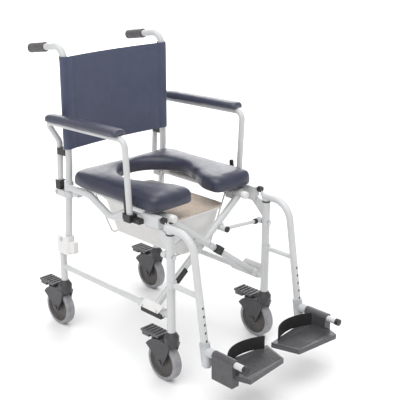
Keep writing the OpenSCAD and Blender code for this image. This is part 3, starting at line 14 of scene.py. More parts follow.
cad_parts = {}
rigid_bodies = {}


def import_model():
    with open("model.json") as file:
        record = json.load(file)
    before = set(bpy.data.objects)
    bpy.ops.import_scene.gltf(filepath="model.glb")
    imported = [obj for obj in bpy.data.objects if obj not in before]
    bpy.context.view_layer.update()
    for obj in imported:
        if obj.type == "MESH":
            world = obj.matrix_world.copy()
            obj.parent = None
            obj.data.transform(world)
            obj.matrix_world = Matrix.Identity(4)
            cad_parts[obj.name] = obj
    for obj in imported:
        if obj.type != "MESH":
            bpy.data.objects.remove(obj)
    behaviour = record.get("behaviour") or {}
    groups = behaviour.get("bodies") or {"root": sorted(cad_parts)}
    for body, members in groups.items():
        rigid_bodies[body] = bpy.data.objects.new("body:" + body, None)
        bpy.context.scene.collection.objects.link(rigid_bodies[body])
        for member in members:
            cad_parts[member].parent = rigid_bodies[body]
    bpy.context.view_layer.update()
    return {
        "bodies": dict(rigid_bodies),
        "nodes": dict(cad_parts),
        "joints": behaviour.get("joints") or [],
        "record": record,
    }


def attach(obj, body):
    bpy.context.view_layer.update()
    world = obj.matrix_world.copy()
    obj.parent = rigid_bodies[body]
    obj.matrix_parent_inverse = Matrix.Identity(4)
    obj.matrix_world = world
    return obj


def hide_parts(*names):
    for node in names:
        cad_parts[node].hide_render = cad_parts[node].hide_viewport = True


LOG = logging.getLogger("commode_chair")
POST_Y = -0.1735
"""Row of the front posts; depths are counted behind it."""


class Side(Enum):
    """The sitter's two sides, with the sign of X."""

    RIGHT = -1
    LEFT = 1

    @property
    def word(self) -> str:
        """Name of the side in node names."""
        return self.name.lower()


class End(Enum):
    """The two ends of a side frame, with the depth of their legs."""

    FRONT = 0.0
    REAR = 0.532

    @property
    def word(self) -> str:
        """Name of the end in node names."""
        return self.name.lower()


def at(x: float, depth: float, z: float) -> Vector:
    """Point from X, depth behind the front posts and height, in metres."""
    return Vector((x, POST_Y + depth, z))


Colour = tuple[float, float, float]


def shaded(colour: Colour, factor: float) -> Colour:
    """The same hue, lighter or darker."""
    return tuple(min(1.0, part * factor) for part in colour)


@dataclass(frozen=True)
class Relief:
    """One layer of a finish's relief.

    The size counts grains per metre, or it is the pitch of threads and ribs in metres. The depth is in
    metres, and the share is how much of it shows.
    """

    size: float
    depth: float
    share: float


class NodeBoard:
    """Adds and links the nodes of one material."""

    MIDDLE = (0.3, 0.7)
    """Range that most of a cloudy pattern lies in."""
    WAVE_RATE = 20.0
    """Radians that Blender's bands turn through in one scaled metre."""
    WAVE_HEIGHT = 1
    """Socket of the height of Blender's bands."""
    MIX_DARK = 6
    """Socket of the first colour of Blender's mix node."""
    MIX_LIGHT = 7
    """Socket of its second colour."""
    MIX_RESULT = 2
    """Socket of its mixed colour."""

    def __init__(self, material: bpy.types.Material) -> None:
        """Start from the material's own shader.

        Args:
            material: Material with nodes switched on.
        """
        self.tree = material.node_tree
        self.shader = self.tree.nodes["Principled BSDF"]
        self.place = self.tree.nodes.new("ShaderNodeTexCoord").outputs["Object"]

    def link(self, source: bpy.types.NodeSocket, target: bpy.types.NodeSocket) -> None:
        """Join two sockets."""
        self.tree.links.new(source, target)

    def noise(self, scale: float, detail: float = 3.0, stretch: Vector | None = None) -> bpy.types.NodeSocket:
        """Cloudy pattern in object space.

        Args:
            scale: Clouds per metre.
            detail: Number of finer layers.
            stretch: Factors along X, Y and Z, for streaks.

        Returns:
            The pattern's value socket.
        """
        node = self.tree.nodes.new("ShaderNodeTexNoise")
        node.inputs["Scale"].default_value = scale
        node.inputs["Detail"].default_value = detail
        self.link(self.mapped(stretch) if stretch else self.place, node.inputs["Vector"])
        return node.outputs[0]

    def mapped(self, stretch: Vector) -> bpy.types.NodeSocket:
        """Object space, stretched.

        Args:
            stretch: Factors along X, Y and Z.

        Returns:
            The stretched vector socket.
        """
        node = self.tree.nodes.new("ShaderNodeMapping")
        node.inputs["Scale"].default_value = stretch
        self.link(self.place, node.inputs["Vector"])
        return node.outputs[0]

    def cells(self, scale: float) -> bpy.types.NodeSocket:
        """Pebbled pattern.

        Args:
            scale: Pebbles per metre.

        Returns:
            The distance socket.
        """
        node = self.tree.nodes.new("ShaderNodeTexVoronoi")
        node.inputs["Scale"].default_value = scale
        self.link(self.place, node.inputs["Vector"])
        return node.outputs["Distance"]

    def bands(self, pitch: float, direction: str, waver: float = 0.0) -> bpy.types.NodeSocket:
        """Parallel threads or ribs.

        Args:
            pitch: Distance from one thread to the next.
            direction: Axis across the threads, X, Y or Z.
            waver: How far the threads wander.

        Returns:
            The height socket.
        """
        node = self.tree.nodes.new("ShaderNodeTexWave")
        node.wave_type = "BANDS"
        node.bands_direction = direction
        node.inputs["Scale"].default_value = 2 * math.pi / (self.WAVE_RATE * pitch)
        node.inputs["Distortion"].default_value = waver
        node.inputs["Detail"].default_value = 1.0
        self.link(self.place, node.inputs["Vector"])
        return node.outputs[self.WAVE_HEIGHT]

    def spread(self, value: bpy.types.NodeSocket, low: float, high: float) -> bpy.types.NodeSocket:
        """Stretch a pattern's middle range to other limits.

        Args:
            value: Pattern from 0 to 1.
            low: Result where the pattern is dark.
            high: Result where the pattern is bright.

        Returns:
            The stretched socket.
        """
        node = self.tree.nodes.new("ShaderNodeMapRange")
        node.inputs["From Min"].default_value = self.MIDDLE[0]
        node.inputs["From Max"].default_value = self.MIDDLE[1]
        node.inputs["To Min"].default_value = low
        node.inputs["To Max"].default_value = high
        self.link(value, node.inputs["Value"])
        return node.outputs["Result"]

    def times(self, first: bpy.types.NodeSocket, second: bpy.types.NodeSocket) -> bpy.types.NodeSocket:
        """Product of two patterns.

        Args:
            first: One pattern.
            second: The other pattern.

        Returns:
            The product's value socket.
        """
        node = self.tree.nodes.new("ShaderNodeMath")
        node.operation = "MULTIPLY"
        self.link(first, node.inputs[0])
        self.link(second, node.inputs[1])
        return node.outputs[0]

    def tint(self, value: bpy.types.NodeSocket, dark: Colour, light: Colour) -> None:
        """Colour the shader between two colours by a pattern.

        Args:
            value: Pattern from 0 to 1.
            dark: Colour where the pattern is dark.
            light: Colour where the pattern is bright.
        """
        node = self.tree.nodes.new("ShaderNodeMix")
        node.data_type = "RGBA"
        node.inputs[self.MIX_DARK].default_value = (*dark, 1.0)
        node.inputs[self.MIX_LIGHT].default_value = (*light, 1.0)
        self.link(value, node.inputs["Factor"])
        self.link(node.outputs[self.MIX_RESULT], self.shader.inputs["Base Color"])

    def gloss(self, value: bpy.types.NodeSocket, low: float, high: float) -> None:
        """Vary the roughness by a pattern between two values."""
        self.link(self.spread(value, low, high), self.shader.inputs["Roughness"])

    def relief(self, height: bpy.types.NodeSocket, layer: Relief) -> None:
        """Raise the surface by a pattern, on top of any relief laid before.

        Args:
            height: Pattern from 0 to 1.
            layer: Depth of the relief and the share of it that shows.
        """
        node = self.tree.nodes.new("ShaderNodeBump")
        node.inputs["Distance"].default_value = layer.depth
        node.inputs["Strength"].default_value = layer.share
        self.link(height, node.inputs["Height"])
        normal = self.shader.inputs["Normal"]
        if normal.is_linked:
            self.link(normal.links[0].from_socket, node.inputs["Normal"])
        self.link(node.outputs["Normal"], normal)

    def film(self, kind: str, weight: float, rough: float) -> None:
        """Set one of the thin films over the shader's base.

        Args:
            kind: Coat or Sheen.
            weight: How much of the film shows.
            rough: Roughness of the film.
        """
        self.shader.inputs[f"{kind} Weight"].default_value = weight
        self.shader.inputs[f"{kind} Roughness"].default_value = rough


@dataclass(frozen=True)
class Finish:
    """One surface finish of the chair: cloudy tone, rubbed gloss and, in each kind, a relief of its own.

    Clouds and patches are counted per metre. Dark and light are factors of the colour, and smoother and
    rougher are steps from the mean roughness.
    """

    name: str
    colour: Colour
    rough: float
    clouds: float
    dark: float
    light: float
    patches: float
    smoother: float
    rougher: float

    def material(self) -> bpy.types.Material:
        """Make the material, or give it again where it was made before.

        Returns:
            The node material.
        """
        known = bpy.data.materials.get(self.name)
        if known:
            return known
        material = bpy.data.materials.new(self.name)
        material.use_nodes = True
        material.diffuse_color = (*self.colour, 1.0)
        self.wire(NodeBoard(material))
        return material

    def pattern(self, board: NodeBoard, scale: float) -> bpy.types.NodeSocket:
        """Pattern of the tone or the gloss.

        Args:
            board: Board of the finish's material.
            scale: Clouds or patches per metre.

        Returns:
            The pattern's value socket.
        """
        return board.noise(scale)

    def wire(self, board: NodeBoard) -> None:
        """Lay the tone and the gloss.

        Args:
            board: Board of the finish's material.
        """
        clouds = board.spread(self.pattern(board, self.clouds), 0, 1)
        board.tint(clouds, shaded(self.colour, self.dark), shaded(self.colour, self.light))
        patches = self.pattern(board, self.patches)
        board.gloss(patches, self.rough - self.smoother, self.rough + self.rougher)


@dataclass(frozen=True)
class PowderCoat(Finish):
    """Baked paint on tube: faint orange peel, soft gloss and a trace of grime."""

    clouds: float = 14.0
    dark: float = 0.95
    light: float = 1.03
    patches: float = 60.0
    smoother: float = 0.06
    rougher: float = 0.08
    peel: Relief = Relief(700.0, 0.00012, 0.5)
    coat: float = 0.25
    coat_rough: float = 0.2

    def wire(self, board: NodeBoard) -> None:
        """Lay the tone, the gloss, orange peel and a clear coat.

        Args:
            board: Board of the finish's material.
        """
        super().wire(board)
        board.relief(board.noise(self.peel.size, detail=1), self.peel)
        board.film("Coat", self.coat, self.coat_rough)


@dataclass(frozen=True)
class MouldedPlastic(Finish):
    """Injection moulded plastic with a spark-eroded grain."""

    clouds: float = 35.0
    dark: float = 0.86
    light: float = 1.14
    patches: float = 90.0
    smoother: float = 0.08
    rougher: float = 0.1
    grain: Relief = Relief(1400.0, 0.0001, 0.5)
    sinks: Relief = Relief(120.0, 0.0003, 0.25)

    def wire(self, board: NodeBoard) -> None:
        """Lay mottled tone, rubbed patches, fine grain and shallow sinks.

        Args:
            board: Board of the finish's material.
        """
        super().wire(board)
        board.relief(board.cells(self.grain.size), self.grain)
        board.relief(board.noise(self.sinks.size), self.sinks)


@dataclass(frozen=True)
class RibbedPlastic(MouldedPlastic):
    """Moulded plastic with a coarser grain and flutes from front to rear."""

    dark: float = 0.94
    light: float = 1.06
    grain: Relief = Relief(600.0, 0.0001, 0.5)
    flutes: Relief = Relief(0.012, 0.0025, 0.7)

    def wire(self, board: NodeBoard) -> None:
        """Lay the moulding's own pattern and the flutes."""
        super().wire(board)
        board.relief(board.bands(self.flutes.size, "X"), self.flutes)


@dataclass(frozen=True)
class FoamSkin(Finish):
    """Closed skin of moulded foam: pebbled grain with a satin sheen."""

    clouds: float = 22.0
    dark: float = 0.85
    light: float = 1.2
    patches: float = 45.0
    smoother: float = 0.05
    rougher: float = 0.07
    pebbles: Relief = Relief(900.0, 0.00015, 0.45)
    waves: Relief = Relief(16.0, 0.0012, 0.25)
    coat: float = 0.45
    coat_rough: float = 0.38
    sheen: float = 0.08
    sheen_rough: float = 0.4

    def wire(self, board: NodeBoard) -> None:
        """Lay worn tone, satin gloss, pebbles and slow waves.

        Args:
            board: Board of the finish's material.
        """
        super().wire(board)
        board.relief(board.cells(self.pebbles.size), self.pebbles)
        board.relief(board.noise(self.waves.size, detail=1), self.waves)
        board.film("Coat", self.coat, self.coat_rough)
        board.film("Sheen", self.sheen, self.sheen_rough)


@dataclass(frozen=True)
class CoatedCloth(Finish):
    """Coated woven nylon."""

    clouds: float = 18.0
    dark: float = 0.94
    light: float = 1.06
    patches: float = 70.0
    smoother: float = 0.05
    rougher: float = 0.08
    weave: Relief = Relief(0.0011, 0.0003, 0.6)
    waver: float = 0.6
    puckers: Relief = Relief(9.0, 0.004, 0.12)
    pull: tuple[float, float, float] = (1.6, 1.0, 0.35)
    sheen: float = 0.2
    sheen_rough: float = 0.5

    def wire(self, board: NodeBoard) -> None:
        """Lay mottled tone, crossing threads and slow puckers.

        Args:
            board: Board of the finish's material.
        """
        super().wire(board)
        upright = board.bands(self.weave.size, "X", self.waver)
        level = board.bands(self.weave.size, "Z", self.waver)
        board.relief(board.times(upright, level), self.weave)
        board.relief(board.noise(self.puckers.size, detail=2, stretch=Vector(self.pull)), self.puckers)
        board.film("Sheen", self.sheen, self.sheen_rough)


@dataclass(frozen=True)
class Webbing(Finish):
    """Woven strap with ribs along its length."""

    clouds: float = 120.0
    dark: float = 0.7
    light: float = 1.5
    patches: float = 200.0
    smoother: float = 0.05
    rougher: float = 0.05
    ribs: Relief = Relief(0.0021, 0.0005, 0.7)
    threads: Relief = Relief(0.00105, 0.0002, 0.4)

    def wire(self, board: NodeBoard) -> None:
        """Lay lint, ribs and cross threads.

        Args:
            board: Board of the finish's material.
        """
        super().wire(board)
        board.relief(board.bands(self.ribs.size, "Z", waver=0.3), self.ribs)
        board.relief(board.bands(self.threads.size, "X", waver=0.8), self.threads)


@dataclass(frozen=True)
class Rubber(Finish):
    """Soft rubber or tyre tread, dusty and matt."""

    clouds: float = 50.0
    dark: float = 0.82
    light: float = 1.18
    patches: float = 80.0
    smoother: float = 0.08
    rougher: float = 0.08
    pits: Relief = Relief(900.0, 0.0002, 0.5)

    def wire(self, board: NodeBoard) -> None:
        """Lay scuffed tone and a fine pitted surface."""
        super().wire(board)
        board.relief(board.noise(self.pits.size, detail=2), self.pits)


@dataclass(frozen=True)
class GripRubber(Rubber):
    """Rubber of the push grips, with fine ribs round them."""

    ribs: Relief = Relief(0.006, 0.0012, 0.8)

    def wire(self, board: NodeBoard) -> None:
        """Lay the rubber's own pattern and the ribs."""
        super().wire(board)
        board.relief(board.bands(self.ribs.size, "Y"), self.ribs)


@dataclass(frozen=True)
class ZincSteel(Finish):
    """Zinc plated fastener."""

    clouds: float = 60.0
    dark: float = 0.8
    light: float = 1.1
    patches: float = 60.0
    smoother: float = 0.08
    rougher: float = 0.1
    streak: tuple[float, float, float] = (1.0, 1.0, 9.0)
    pits: Relief = Relief(1500.0, 0.00005, 0.4)

    def pattern(self, board: NodeBoard, scale: float) -> bpy.types.NodeSocket:
        """Streaks of the tone or the gloss.

        Args:
            board: Board of the finish's material.
            scale: Streaks per metre.

        Returns:
            The pattern's value socket.
        """
        return board.noise(scale, detail=4, stretch=Vector(self.streak))

    def wire(self, board: NodeBoard) -> None:
        """Lay a streaked and finely pitted metal.

        Args:
            board: Board of the finish's material.
        """
        super().wire(board)
        board.relief(board.noise(self.pits.size, detail=1), self.pits)
        board.shader.inputs["Metallic"].default_value = 1.0


FINISHES: dict[str, Finish] = {
    "white_paint": PowderCoat("white_paint_coat", (0.63, 0.635, 0.64), 0.32),
    "white_plastic": MouldedPlastic(
        "white_plastic_moulding", (0.80, 0.79, 0.775), 0.4, dark=0.97, light=1.03),
    "black_plastic": MouldedPlastic("black_plastic_moulding", (0.022, 0.022, 0.024), 0.42),
    "black_rubber": Rubber("black_rubber_moulding", (0.028, 0.028, 0.031), 0.6),
    "steel": ZincSteel("zinc_steel", (0.62, 0.62, 0.64), 0.34),
    "navy_skin": FoamSkin("navy_foam_skin", (0.024, 0.028, 0.056), 0.42),
    # Lighter copy of the seat's navy foam skin for the armrest pads: the lift is painted reflected light.
    "painted_light_pad_skin": FoamSkin("navy_pad_skin", (0.046, 0.050, 0.082), 0.42),
    "navy_cloth": CoatedCloth("navy_back_cloth", (0.062, 0.075, 0.135), 0.56),
    "black_webbing": Webbing("black_strap_webbing", (0.014, 0.014, 0.014), 0.7),
    "tan_plastic": RibbedPlastic("tan_lid_plastic", (0.61, 0.51, 0.42), 0.5),
    "grey_plastic": MouldedPlastic("grey_plastic_moulding", (0.52, 0.53, 0.55), 0.42),
    "dark_plastic": MouldedPlastic("dark_plastic_moulding", (0.052, 0.051, 0.055), 0.36),
    "grey_tyre": Rubber("grey_tyre_rubber", (0.30, 0.30, 0.315), 0.6),
    "hub_plastic": MouldedPlastic("hub_plastic_moulding", (0.078, 0.072, 0.067), 0.46),
    # Lighter copy of the dark plastic for the footplates: painted light on their lit tops.
    "painted_light_plate_plastic": MouldedPlastic("plate_plastic_moulding", (0.078, 0.076, 0.081), 0.34),
    "pedal_plastic": MouldedPlastic("pedal_plastic_moulding", (0.10, 0.10, 0.106), 0.4),
    "grip_rubber": GripRubber("grip_rubber_moulding", (0.105, 0.096, 0.102), 0.48),
}

NODE_FINISHES: dict[str, str] = {
    **{f"{side.word}_{end.word}_pedal": "pedal_plastic" for side in Side for end in End},
    **{f"{side.word}_{end.word}_hub": "hub_plastic" for side in Side for end in End},
    **{f"{side.word}_push_grip": "grip_rubber" for side in Side},
    # The footplates take the lighter copy of the dark plastic, which is painted light.
    **{f"{side.word}_footplate": "painted_light_plate_plastic" for side in Side},
}
# Solids whose finish is finer than their slot's; the footplates' finish is a lighter copy of theirs, painted
# light.
"""Solids whose finish is finer than their slot's."""


class Bench:
    """Modelling steps that the chair's pieces share."""

    FACING = 0.9
    """Part of a face's normal along an axis from which the face counts as facing that way."""
    ALL_SMOOTH = 180.0
    """Edge angle in degrees that leaves no crease."""

    @staticmethod
    def pick(*pieces: bpy.types.Object) -> None:
        """Select only these pieces.

        Args:
            pieces: Pieces to select; the last one becomes the active one.
        """
        bpy.ops.object.select_all(action="DESELECT")
        for piece in pieces:
            piece.select_set(True)
            bpy.context.view_layer.objects.active = piece

    @staticmethod
    @contextmanager
    def editing(piece: bpy.types.Object) -> Iterator[None]:
        """Work on a piece in edit mode, with all of it selected.

        Args:
            piece: Piece to work on.

        Yields:
            Nothing; edit mode ends with the block.
        """
        Bench.pick(piece)
        bpy.ops.object.mode_set(mode="EDIT")
        bpy.ops.mesh.select_all(action="SELECT")
        yield
        bpy.ops.object.mode_set(mode="OBJECT")

    @staticmethod
    def new_piece(name: str) -> bpy.types.Object:
        """Name the primitive that was just added and settle its place in its mesh.

        Args:
            name: Plain name of the piece.

        Returns:
            The named piece.
        """
        piece = bpy.context.object
        piece.name = name
        piece.data.name = name
        Bench.pick(piece)
        bpy.ops.object.transform_apply(location=True, rotation=True, scale=True)
        return piece

    @staticmethod
    def bevel_faces(piece: bpy.types.Object, test: Callable[[bpy.types.MeshPolygon], bool],
                    width: float, steps: int) -> None:
        """Round the edges of chosen faces.

        Args:
            piece: Piece to work on.
            test: Whether a face is wanted.
            width: Width of the rounding.
            steps: Number of strips across the rounding.
        """
        Bench.pick(piece)
        bpy.ops.object.mode_set(mode="EDIT")
        bpy.ops.mesh.select_mode(type="FACE")
        bpy.ops.object.mode_set(mode="OBJECT")
        for part in (piece.data.vertices, piece.data.edges):
            part.foreach_set("select", [False] * len(part))
        for face in piece.data.polygons:
            face.select = test(face)
        bpy.ops.object.mode_set(mode="EDIT")
        bpy.ops.mesh.bevel(offset=width, segments=steps)
        bpy.ops.object.mode_set(mode="OBJECT")

    @staticmethod
    def modify(piece: bpy.types.Object, kind: str, **settings: object) -> None:
        """Add a modifier and apply it.

        Args:
            piece: Piece to finish.
            kind: Blender's modifier type.
            settings: Values of the modifier.
        """
        Bench.pick(piece)
        modifier = piece.modifiers.new(kind.lower(), kind)
        for key, value in settings.items():
            setattr(modifier, key, value)
        bpy.ops.object.modifier_apply(modifier=modifier.name)

    @staticmethod
    def smooth(piece: bpy.types.Object, angle: float = 35.0) -> None:
        """Shade a piece smooth up to an edge angle in degrees."""
        Bench.pick(piece)
        bpy.ops.object.shade_smooth_by_angle(angle=math.radians(angle))

    @staticmethod
    def outward(piece: bpy.types.Object) -> None:
        """Merge doubled points and turn all faces outwards.

        Args:
            piece: Piece with closed faces.
        """
        with Bench.editing(piece):
            bpy.ops.mesh.remove_doubles(threshold=1e-6)
            bpy.ops.mesh.normals_make_consistent(inside=False)

    @staticmethod
    def joined(pieces: list[bpy.types.Object], name: str) -> bpy.types.Object:
        """Join pieces into one.

        Args:
            pieces: Pieces of the same finish and body.
            name: Name of the result.

        Returns:
            The joined piece.
        """
        Bench.pick(*pieces)
        bpy.ops.object.join()
        piece = bpy.context.object
        piece.name = name
        piece.data.name = name
        return piece

    @staticmethod
    def solid_copy(node: bpy.types.Object, name: str) -> bpy.types.Object:
        """Copy a solid's mesh into a new piece with its points merged.

        Args:
            node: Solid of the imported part.
            name: Name of the copy.

        Returns:
            The copy, alone and unparented.
        """
        piece = bpy.data.objects.new(name, node.data.copy())
        piece.data.name = name
        bpy.context.scene.collection.objects.link(piece)
        Bench.outward(piece)
        return piece

    @staticmethod
    def dress(piece: bpy.types.Object, slot: str, body: str, finish: str = "") -> bpy.types.Object:
        """Give a new piece its finish and let it ride on a body.

        Args:
            piece: Finished mesh.
            slot: Material slot of the record.
            body: Body that carries the piece.
            finish: Name of a finer finish than the slot's, if there is one.

        Returns:
            The same piece.
        """
        piece.data.materials.clear()
        piece.data.materials.append(FINISHES[finish or slot].material())
        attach(piece, body)
        LOG.info("%s rides on %s", piece.name, body)
        return piece


@dataclass
class Padding:
    """Turns a plain soft solid into a swollen, rounded pad.

    The shrink makes room for the swelling, and the cap is the furthest that a point may move. Settle counts
    the last smoothing passes, and side_ease is their weight on upright faces.
    """

    voxel: float
    shrink: float
    cap: float
    pressure: float = 4.0
    settle: int = 8
    side_ease: float = 0.4
    frames: int = 20
    flat_share: float = 0.12
    soften: float = 0.5
    first_settle: int = 3
    quality: int = 5

    def stuffed(self, node: bpy.types.Object, name: str) -> bpy.types.Object:
        """Make the pad for one soft solid.

        Args:
            node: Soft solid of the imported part.
            name: Name of the pad.

        Returns:
            The pad, with its simulation applied.
        """
        pad = Bench.solid_copy(node, name)
        with Bench.editing(pad):
            bpy.ops.transform.shrink_fatten(value=-self.shrink)
        Bench.modify(pad, "REMESH", mode="VOXEL", voxel_size=self.voxel, use_smooth_shade=True)
        Bench.modify(pad, "SMOOTH", factor=self.soften, iterations=self.first_settle)
        self.inflate(pad)
        self.ease(pad)
        Bench.modify(pad, "SUBSURF", levels=1, render_levels=1)
        Bench.smooth(pad, Bench.ALL_SMOOTH)
        return pad

    def ease(self, pad: bpy.types.Object) -> None:
        """Round the pad from above and leave the edge of its underside crisp.

        Args:
            pad: Swollen pad.
        """
        crown = pad.vertex_groups.new(name="crown")
        for point in pad.data.vertices:
            weight = min(1.0, max(0.0, self.side_ease + point.normal.z))
            crown.add([point.index], weight, "REPLACE")
        Bench.modify(pad, "SMOOTH", factor=self.soften, iterations=self.settle, vertex_group=crown.name)
        pad.vertex_groups.clear()

    def inflate(self, pad: bpy.types.Object) -> None:
        """Blow the pad up as cloth, holding its underside and capping every move.

        Args:
            pad: Remeshed pad.
        """
        rest = [point.co.copy() for point in pad.data.vertices]
        low = min(point.z for point in rest)
        high = max(point.z for point in rest)
        held = pad.vertex_groups.new(name="underside")
        limit = low + (high - low) * self.flat_share
        held.add([i for i, point in enumerate(rest) if point.z < limit], 1.0, "ADD")
        Bench.pick(pad)
        cloth = pad.modifiers.new("skin", "CLOTH")
        cloth.settings.use_pressure = True
        cloth.settings.uniform_pressure_force = self.pressure
        cloth.settings.vertex_group_mass = held.name
        cloth.settings.effector_weights.gravity = 0.0
        cloth.settings.quality = self.quality
        for frame in range(1, self.frames + 1):
            bpy.context.scene.frame_set(frame)
        bpy.ops.object.modifier_apply(modifier=cloth.name)
        bpy.context.scene.frame_set(1)
        pad.vertex_groups.clear()
        for point, start in zip(pad.data.vertices, rest):
            move = point.co - start
            if move.length > self.cap:
                point.co = start + move.normalized() * self.cap


@dataclass
class TubeFrame:
    """Painted tube frame: weld beads and caps on the seat rails."""

    post_x: float = 0.208
    post_r: float = 0.0127
    leg_r: float = 0.0111
    low_rail_z: float = 0.222
    low_rail_r: float = 0.0095
    rail_x: float = 0.155
    rail_z: float = 0.504
    rail_front: float = 0.040
    cap_r: float = 0.0121
    cap_length: float = 0.016
    cap_steps: int = 56
    cap_ahead: float = 0.004
    cap_round: float = 0.004
    bead_r: float = 0.0016
    bead_steps: int = 64
    bead_sides: int = 10
    bead_reach: float = 0.98
    ripple: float = 0.0003
    ripple_count: int = 24

    def bead(self, name: str, foot: Vector, branch_r: float, main_r: float, way: float) -> bpy.types.Object:
        """Weld bead where a lengthwise tube meets an upright one.

        Args:
            name: Name of the bead.
            foot: Where the two centre lines meet.
            branch_r: Radius of the lengthwise tube.
            main_r: Radius of the upright tube.
            way: 1 where the tube leaves to the rear, -1 where it leaves to the front.

        Returns:
            The bead.
        """
        bpy.ops.mesh.primitive_torus_add(
            major_radius=branch_r, minor_radius=self.bead_r, major_segments=self.bead_steps,
            minor_segments=self.bead_sides, location=foot, rotation=(math.pi / 2, 0, 0))
        bead = Bench.new_piece(name)
        for point in bead.data.vertices:
            side = min(abs(point.co.x - foot.x), main_r * self.bead_reach)
            angle = math.atan2(point.co.z - foot.z, point.co.x - foot.x)
            ripple = self.ripple * math.sin(self.ripple_count * angle)
            point.co.y += way * (math.sqrt(main_r ** 2 - side ** 2) + ripple)
        Bench.smooth(bead, Bench.ALL_SMOOTH)
        return bead

    def rail_cap(self, side: Side) -> bpy.types.Object:
        """Rounded white cap on the front end of a seat rail.

        Args:
            side: Side of the rail.

        Returns:
            The cap.
        """
        depth = self.rail_front + self.cap_length / 2 - self.cap_ahead
        bpy.ops.mesh.primitive_cylinder_add(
            vertices=self.cap_steps, radius=self.cap_r, depth=self.cap_length,
            location=at(side.value * self.rail_x, depth, self.rail_z), rotation=(math.pi / 2, 0, 0))
        cap = Bench.new_piece(f"{side.word}_rail_cap")
        Bench.bevel_faces(cap, lambda face: face.normal.y < -Bench.FACING, self.cap_round, steps=5)
        Bench.smooth(cap)
        return cap

    def build(self) -> None:
        """Model the beads and caps and let them ride on the frame."""
        for side in Side:
            x = side.value * self.post_x
            front = at(x, End.FRONT.value, self.low_rail_z)
            rear = at(x, End.REAR.value, self.low_rail_z)
            beads = [
                self.bead("bead_front", front, self.low_rail_r, self.post_r, 1),
                self.bead("bead_rear", rear, self.low_rail_r, self.leg_r, -1),
            ]
            Bench.dress(Bench.joined(beads, f"{side.word}_weld_beads"), "white_paint", "frame")
            Bench.dress(self.rail_cap(side), "white_plastic", "frame")


